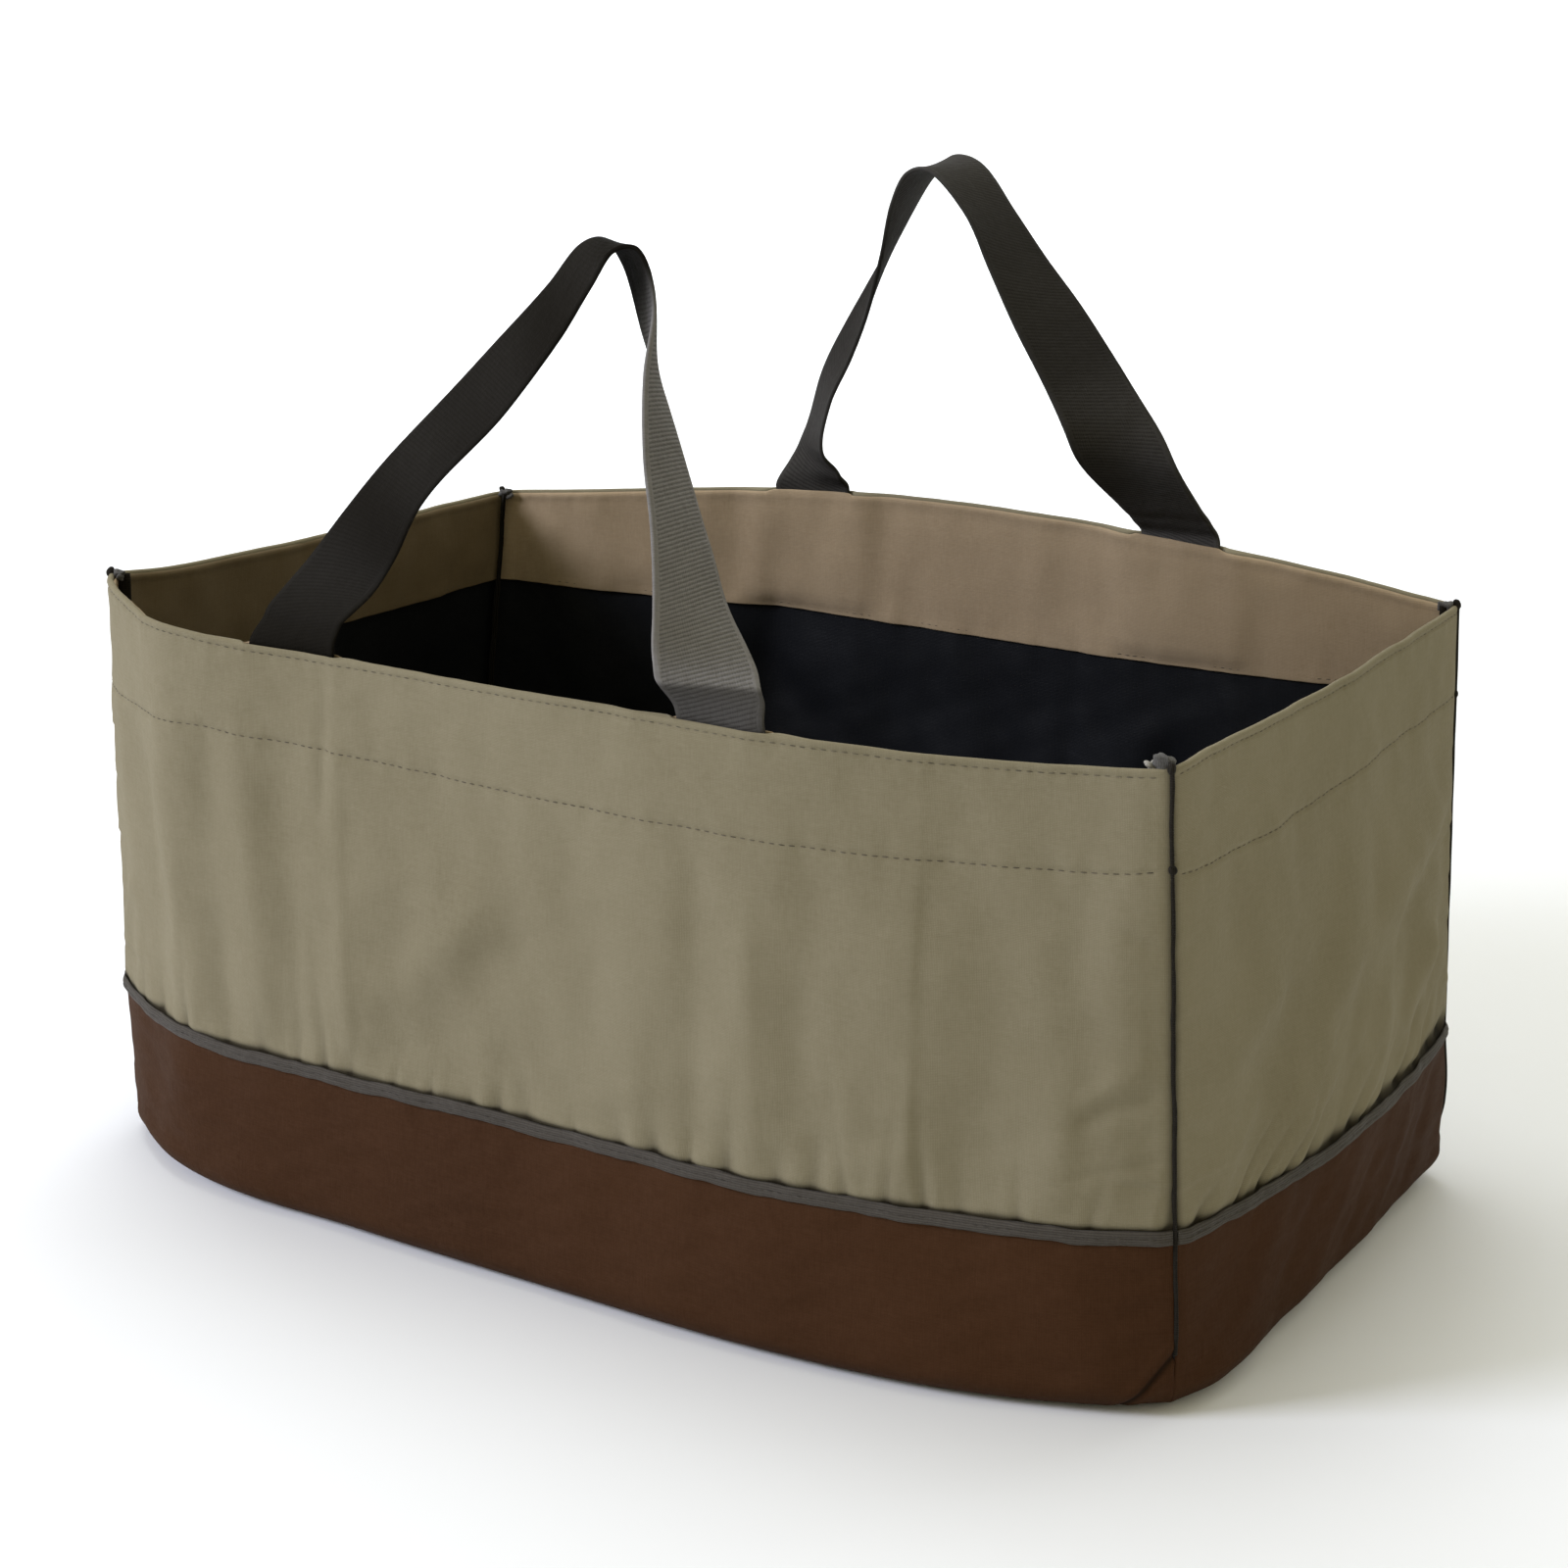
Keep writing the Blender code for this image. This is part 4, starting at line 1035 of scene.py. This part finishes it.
def heading(wall, name, z):
    """Unit plan direction from a corner along one of its walls."""
    start = WALLS[wall][0] == name
    run = (plain_wall(wall, 0.03 if start else 0.97, z) - plain_wall(wall, 0.0 if start else 1.0, z))[..., :2]
    return run / np.linalg.norm(run, axis=-1, keepdims=True)


def corner_inward(name, z):
    """Unit plan direction from a corner into the bag."""
    inward = sum(heading(wall, name, z) for wall, row in WALLS.items() if name in row[:2])
    return inward / np.linalg.norm(inward, axis=-1, keepdims=True)


def build_binding(name):
    """Folded dark tape round a corner's seam allowance."""
    z = np.linspace(SEAM_FOOT, at_corner(rim_height, name) - 0.0004, 90)
    inward = corner_inward(name, z)
    side = np.stack((-inward[:, 1], inward[:, 0]), 1)
    wave = 0.00022 * ripple(z, 0.0, 81, 0.035)
    # It sits deeper at the rounded left corner, and its foot runs in under the slanted seam.
    tuck = 0.0015 if name == "front_left" else 0.0001
    foot = 0.0003 if name == "front_right" else 0.0012
    tuck = tuck + foot * (1.0 - ease((z - SEAM_FOOT) / 0.012))
    nose = 0.00078 + 0.00008 * ripple(z, 0.0, 82, 0.012)
    # Cross-section of the fold, in depth and side, from one free edge round to the other.
    section = [(BIND_DEEP, 1.0), (0.75 * BIND_DEEP, 1.02), (0.5 * BIND_DEEP, 1.0), (0.25 * BIND_DEEP, 1.02)]
    turns = [math.radians(degrees) for degrees in (90, 68, 46, 22, 0)]
    section += [(0.0011 - 0.0011 * math.cos(turn), math.sin(turn)) for turn in turns]
    section += [(d, -s) for d, s in section[-2::-1]]
    rows = []
    for depth, lateral in section:
        plan = corner(name, z) + inward * (tuck + depth)[:, None] + side * (lateral * nose + wave)[:, None]
        rows.append(np.concatenate((plan, z[:, None]), 1))
    points = soften_foot(np.stack(rows, 0), [name])
    uv = pair(z[None], 0.002 * np.arange(len(section))[:, None])
    centre = corner(name, np.array(0.13)) + 0.5 * BIND_DEEP * corner_inward(name, np.array(0.13))
    cloth_piece("binding_" + name, points, BINDING_SHELL, uv, [BINDING], "seam_binding", away=(*centre, 0.13))


def blob(name, centre, axes, sizes, material, power, seed, rough=0.00012):
    """A small rounded lump of folded tape or thread, with its own axes and sizes."""
    rings, sides = 14, 22
    lat = np.linspace(-0.5 * math.pi, 0.5 * math.pi, rings)
    lon = np.linspace(0.0, 2.0 * math.pi, sides + 1)[:-1]

    def bulge(value):
        return np.sign(value) * np.abs(value) ** (2.0 / power)

    x = bulge(np.cos(lat))[:, None] * bulge(np.cos(lon))[None]
    y = bulge(np.cos(lat))[:, None] * bulge(np.sin(lon))[None]
    z = bulge(np.sin(lat))[:, None] * np.ones_like(x)
    local = np.stack((x * sizes[0], y * sizes[1], z * sizes[2]), -1)
    uneven = ripple(local[..., 0] + local[..., 1], local[..., 2], seed, 0.004)
    local *= 1.0 + rough / min(sizes) * uneven[..., None]
    verts = (np.asarray(centre) + local @ np.asarray(axes)).reshape(-1, 3)
    uvs = pair(verts[:, 0] + verts[:, 1], verts[:, 2])
    dress(make_object(name, verts, tube_faces(rings, sides), uvs, [material]), ())


def foot_middle(wall, x, z):
    """Middle of the webbing inside the hem at a place along X."""
    table = np.linspace(0.0, 1.0, 400)
    xs = plain_wall(wall, table, z)[:, 0]
    along = np.interp(x, xs, table)
    return wall_face(wall, along, np.full_like(along, z), CANVAS + POCKET_GAP + 0.5 * WEBBING)


def build_handle(wall, ribbon, tones, cells, across, flat):
    """One webbing handle, slightly cupped, with a crease where each leg leaves the hem."""
    sign = 1.0 if wall == "front" else -1.0
    feet = FEET[wall]
    shares = [row[0] for row in ribbon]
    rims = [float(rim_height(wall, np.array(0.5 + foot / LENGTH))) for foot in feet]
    seats = [float(foot_middle(wall, np.array([foot]), rim)[0, 1]) for foot, rim in zip(feet, rims)]
    s = np.linspace(0.0, 1.0, cells + 1)
    run, lean, up, turn, tip = (curve(shares, [row[k] for row in ribbon], s) for k in range(1, 6))
    turn, tip = np.radians(turn), np.radians(tip)
    width = np.stack((np.cos(tip) * np.cos(turn), np.cos(tip) * np.sin(turn), np.sin(tip)), -1)
    centre = np.stack((feet[0] + (feet[1] - feet[0]) * run,
                       seats[0] + (seats[1] - seats[0]) * s + sign * HANDLE_LEAN * lean,
                       rims[0] + (rims[1] - rims[0]) * s + RISE[wall] * up), -1)
    half = STRAP_WIDE * (np.linspace(0.0, 1.0, across + 1) - 0.5)
    points = centre[:, None] + width[:, None] * half[None, :, None]
    near = np.where(s < 0.5, 0, 1)
    for end in (0, 1):
        held = (1.0 - ease((centre[:, 2] - rims[end]) / STRAP_SETTLE)) * (near == end)
        for k in np.nonzero(held > 0.0)[0]:
            seat = foot_middle(wall, points[k, :, 0], rims[end])
            points[k, :, 1] += held[k] * (seat[:, 1] - points[k, :, 1])
    tails = []
    for end in (0, 1):
        xs = feet[end] + half * math.cos(math.radians(ribbon[-end][4]))
        drops = np.linspace(STRAP_TAIL, 0.0, 19)[:-1]
        tails.append(np.stack([foot_middle(wall, xs, rims[end] - drop) for drop in drops]))
    points = np.concatenate((tails[0], points, tails[1][::-1]))
    # Cupping across the width, a soft wave along the edges and the crease above each foot.
    middle = (0.0, sign * -0.02, 0.30)
    normal = surface_normals(points, middle)
    path = run_along(points[:, across // 2])
    below = np.minimum(path, path[-1] - path) - STRAP_TAIL
    free = ease((below - 0.012) / 0.05)[:, None]
    cup = -0.0010 * ((half / (0.5 * STRAP_WIDE)) ** 2)[None, :] * free
    cup = cup + 0.00035 * ripple(path[:, None], half[None], 91, 0.06) * free
    points = points + normal * cup[..., None]
    points[..., 1] -= (sign * 0.0016 * bell((below - 0.0155) / 0.0050) * (below > 0))[:, None]
    # Painted light and shade: dark where the webbing lies in shade, pale on the lit leg with the ribs, dark
    # at each foot.
    tone = through(tones, path / path[-1])
    painted_shade = np.maximum(tone, 0.66 * (1.0 - ease((below - 0.0135) / 0.0035)) * (below > -0.002))
    painted_shade = painted_shade + 0.03 * ripple(path, 0.0, 92, 0.08)
    cloth_piece("handle_" + wall, points, WEBBING, pair(half[None], path[:, None]), [WEBBING_CLOTH],
                "webbing", flat, "hung", ["panel_" + wall], away=middle, both=True,
                shade=np.clip(painted_shade, 0, 1)[:, None], round_edge=0.35)


# Stage

def plain_material(name, colour, other, rough):
    net = Net(name)
    body = net.add("ShaderNodeTexCoord", {}, 3)
    soft = net.noise(body, 1.4, 2.0)
    net.tree.links.new(net.mix(soft, (*colour, 1.0), (*other, 1.0)), net.shader.inputs["Base Color"])
    net.shader.inputs["Roughness"].default_value = rough
    net.shader.inputs["Specular IOR Level"].default_value = 0.1
    return net.material


def build_stage():
    """Pale sweep of floor and backdrop, soft lights and the camera."""
    rows = [(-6.0 + 10.0 * k / 28.0, 0.0) for k in range(29)]
    for k in range(1, 13):
        turn = 0.5 * math.pi * k / 12.0
        rows.append((4.0 + 2.0 * math.sin(turn), 2.0 * (1.0 - math.cos(turn))))
    rows.append((6.0, 8.0))
    verts = [(x, y, z) for y, z in rows for x in (-12.0, 12.0)]
    faces = [(2 * k, 2 * k + 1, 2 * k + 3, 2 * k + 2) for k in range(len(rows) - 1)]
    mesh = bpy.data.meshes.new("floor")
    mesh.from_pydata(verts, [], faces)
    mesh.polygons.foreach_set("use_smooth", [True] * len(mesh.polygons))
    mesh.materials.append(plain_material("pale_floor", (0.865, 0.88, 0.915), (0.895, 0.91, 0.945), 0.9))
    floor = bpy.data.objects.new("floor", mesh)
    floor.location = (0.0, 0.0, -0.0004)
    bpy.context.scene.collection.objects.link(floor)
    for name, place, target, size, power in (
        ("key", (-1.66, -1.80, 1.32), (0.0, -0.05, 0.15), 0.9, 55.0),
        ("top", (-0.5, 0.5, 2.3), (0.0, 0.0, 0.1), 1.6, 27.0),
        ("side", (2.2, -0.2, 1.1), (0.1, 0.0, 0.15), 1.2, 3.0),
        ("backdrop", (-1.2, 1.9, 2.4), (-2.6, 4.4, 0.0), 2.2, 95.0),
        ("backdrop_left", (-3.6, 2.4, 2.6), (-5.4, 4.9, 0.2), 2.4, 130.0),
        ("behind", (0.9, 2.3, 1.2), (0.0, 0.1, 0.15), 1.2, 7.0),
    ):
        light = bpy.data.lights.new(name, "AREA")
        light.shape = "SQUARE"
        light.size = size
        light.energy = power
        light.color = {"side": (1.0, 0.90, 0.62), "key": (0.94, 0.97, 1.14)}.get(name, (0.94, 0.97, 1.02))
        obj = bpy.data.objects.new(name, light)
        obj.location = place
        obj.rotation_mode = "QUATERNION"
        obj.rotation_quaternion = (Vector(target) - Vector(place)).to_track_quat("-Z", "Y")
        bpy.context.scene.collection.objects.link(obj)
    world = bpy.data.worlds.new("studio")
    world.use_nodes = True
    glow = world.node_tree.nodes["Background"].inputs
    glow["Color"].default_value = (1.0, 0.945, 0.68, 1.0)
    glow["Strength"].default_value = 0.50
    bpy.context.scene.world = world
    bpy.context.scene.view_settings.view_transform = "Standard"

    yaw, pitch, roll = math.radians(-31.94), math.radians(16.05), math.radians(0.34)
    ahead = Vector((math.sin(yaw) * math.cos(pitch), math.cos(yaw) * math.cos(pitch), -math.sin(pitch)))
    right = Vector((math.cos(yaw), -math.sin(yaw), 0.0))
    up = right.cross(ahead)
    turned = math.cos(roll) * right + math.sin(roll) * up
    lifted = -math.sin(roll) * right + math.cos(roll) * up
    data = bpy.data.cameras.new("camera")
    data.sensor_width = 36.0
    data.lens = 72.855
    data.clip_start, data.clip_end = 0.05, 60.0
    camera = bpy.data.objects.new("camera", data)
    camera.matrix_world = Matrix.Translation(Vector((0.697, -1.1122, 0.551)) + Vector(MIDDLE)) @ Matrix(
        (turned, lifted, -ahead)).transposed().to_4x4()
    bpy.context.scene.collection.objects.link(camera)
    bpy.context.scene.camera = camera


def seam_lines():
    """Rows of stitches at the hem, at the rim, inside the hem and along the tape."""
    for wall, cells in (("front", 260), ("back", 260), ("right", 140), ("left", 140)):
        share = np.linspace(0.0, 1.0, cells)
        a = stations(wall, np.array([0.2]), share, 0.004)[0]
        for name, z, colour in (("stitch_hem_", hem_height(wall, a), THREAD_DARK),
                                ("stitch_rim_", rim_height(wall, a) - RIM_LINE, THREAD_KHAKI)):
            stitch_row(name + wall, wall_face(wall, a, z), -wall_inward(wall, a, z), colour,
                       lift=0.00002)
        a = stations(wall, np.array([0.2]), share, 0.005)[0]
        z = hem_height(wall, a)
        depth = CANVAS + pocket(wall, plain_wall(wall, a, HEM_LINE)[..., 0]) * 0.2 + FACING - 0.0003
        stitch_row("stitch_hem_inside_" + wall, wall_face(wall, a, z, depth), wall_inward(wall, a, z),
                   THREAD_DARK, lift=0.0001)
        a = stations(wall, np.array([BASE_TALL]), share, 0.005)[0]
        z = np.full_like(a, 0.5 * (TAPE_LOW + TAPE_TOP))
        u = a * length_at(wall, BASE_TALL)
        out = 0.0012 + 0.0009 - 0.00035 + 0.00035 * ripple(u, z, 73, 0.03)
        outward = -wall_inward(wall, a, z)
        points = plain_wall(wall, a, z + tape_wander(u)) + outward * out[:, None]
        stitch_row("stitch_trim_" + wall, points, outward, THREAD_GREY, long=0.0024,
                   thick=0.00036, lift=0.00004)


def corner_ends():
    """Folded grey ends of the binding above each corner, and the thread knots at the hem line."""
    for name in CORNERS:
        top, hem = at_corner(rim_height, name), at_corner(hem_height, name)
        inward = corner_inward(name, np.array(top))
        run = heading("front" if name.startswith("front") else "back", name, np.array(top))
        axes = ((run[0], run[1], 0.10), (-run[1], run[0], 0.0), (0.0, 0.0, 1.0))
        start = corner(name, np.array(top)) + inward * 0.0052
        # The near end stands up and its tip has a painted highlight in a pale tape colour. The others lie
        # lower and are smaller.
        near = name == "front_right"
        small, drop = (1.0, 0.0) if near else (0.72, 0.0016)
        for part, along, high, sizes, cloth, power in (
            ("tape_end_", 0.0010, 0.0012, (0.0036, 0.0027, 0.0027), NUB, 2.5),
            ("tape_tip_", 0.0050, -0.0002, (0.0021, 0.0020, 0.0016), TIP if near else NUB, 2.3),
        ):
            blob(part + name, (*(start + run * along * small), top + high - drop), axes,
                 tuple(small * size for size in sizes), cloth, power, len(name) + int(along * 1e4), 0.00075)
        axes = ((inward[0], inward[1], 0.18), (-inward[1], inward[0], 0.0), (0.0, 0.0, 1.0))
        place = corner(name, np.array(top)) + inward * 0.0014
        blob("tape_fold_" + name, (*place, top + 0.0002), axes, (0.0018, 0.0015, 0.0022), BINDING, 2.3,
             len(name) + 1)
        deep = 0.0024 if name == "front_left" else 0.0009
        place = corner(name, np.array(hem)) + corner_inward(name, np.array(hem)) * deep
        blob("knot_" + name, (*place, hem), axes, (0.0012, 0.0016, 0.0018), BINDING, 2.2, len(name) + 2)


# The bag

build_stage()
for wall, cells, count, flat in (("front", 330, 92, (0.600, 0.190)), ("back", 260, 70, (0.600, 0.200)),
                                 ("right", 170, 92, (0.300, 0.190)), ("left", 130, 70, (0.300, 0.190))):
    build_panel(wall, cells, count, flat)
for wall, cells, flat in (("front", 260, (0.58, 0.049)), ("back", 260, (0.58, 0.049)),
                          ("right", 110, (0.29, 0.049)), ("left", 110, (0.29, 0.049))):
    build_facing(wall, cells, flat)
for wall, cells in (("front", 300), ("back", 220)):
    build_base(wall, cells, (0.60, 0.105))
build_cradle(70, 150, (0.30, 0.70))
for wall, cells, long in (("front", 320, 0.60), ("back", 260, 0.60),
                          ("right", 160, 0.30), ("left", 130, 0.30)):
    build_trim(wall, cells, (long, 0.010), long * TRIM_TALL)
for name in CORNERS:
    build_binding(name)
build_handle("front", FRONT_RIBBON, FRONT_SHADE_TONES, 300, 20, (0.038, 0.52))
build_handle("back", BACK_RIBBON, BACK_SHADE_TONES, 300, 20, (0.038, 0.52))
seam_lines()
corner_ends()
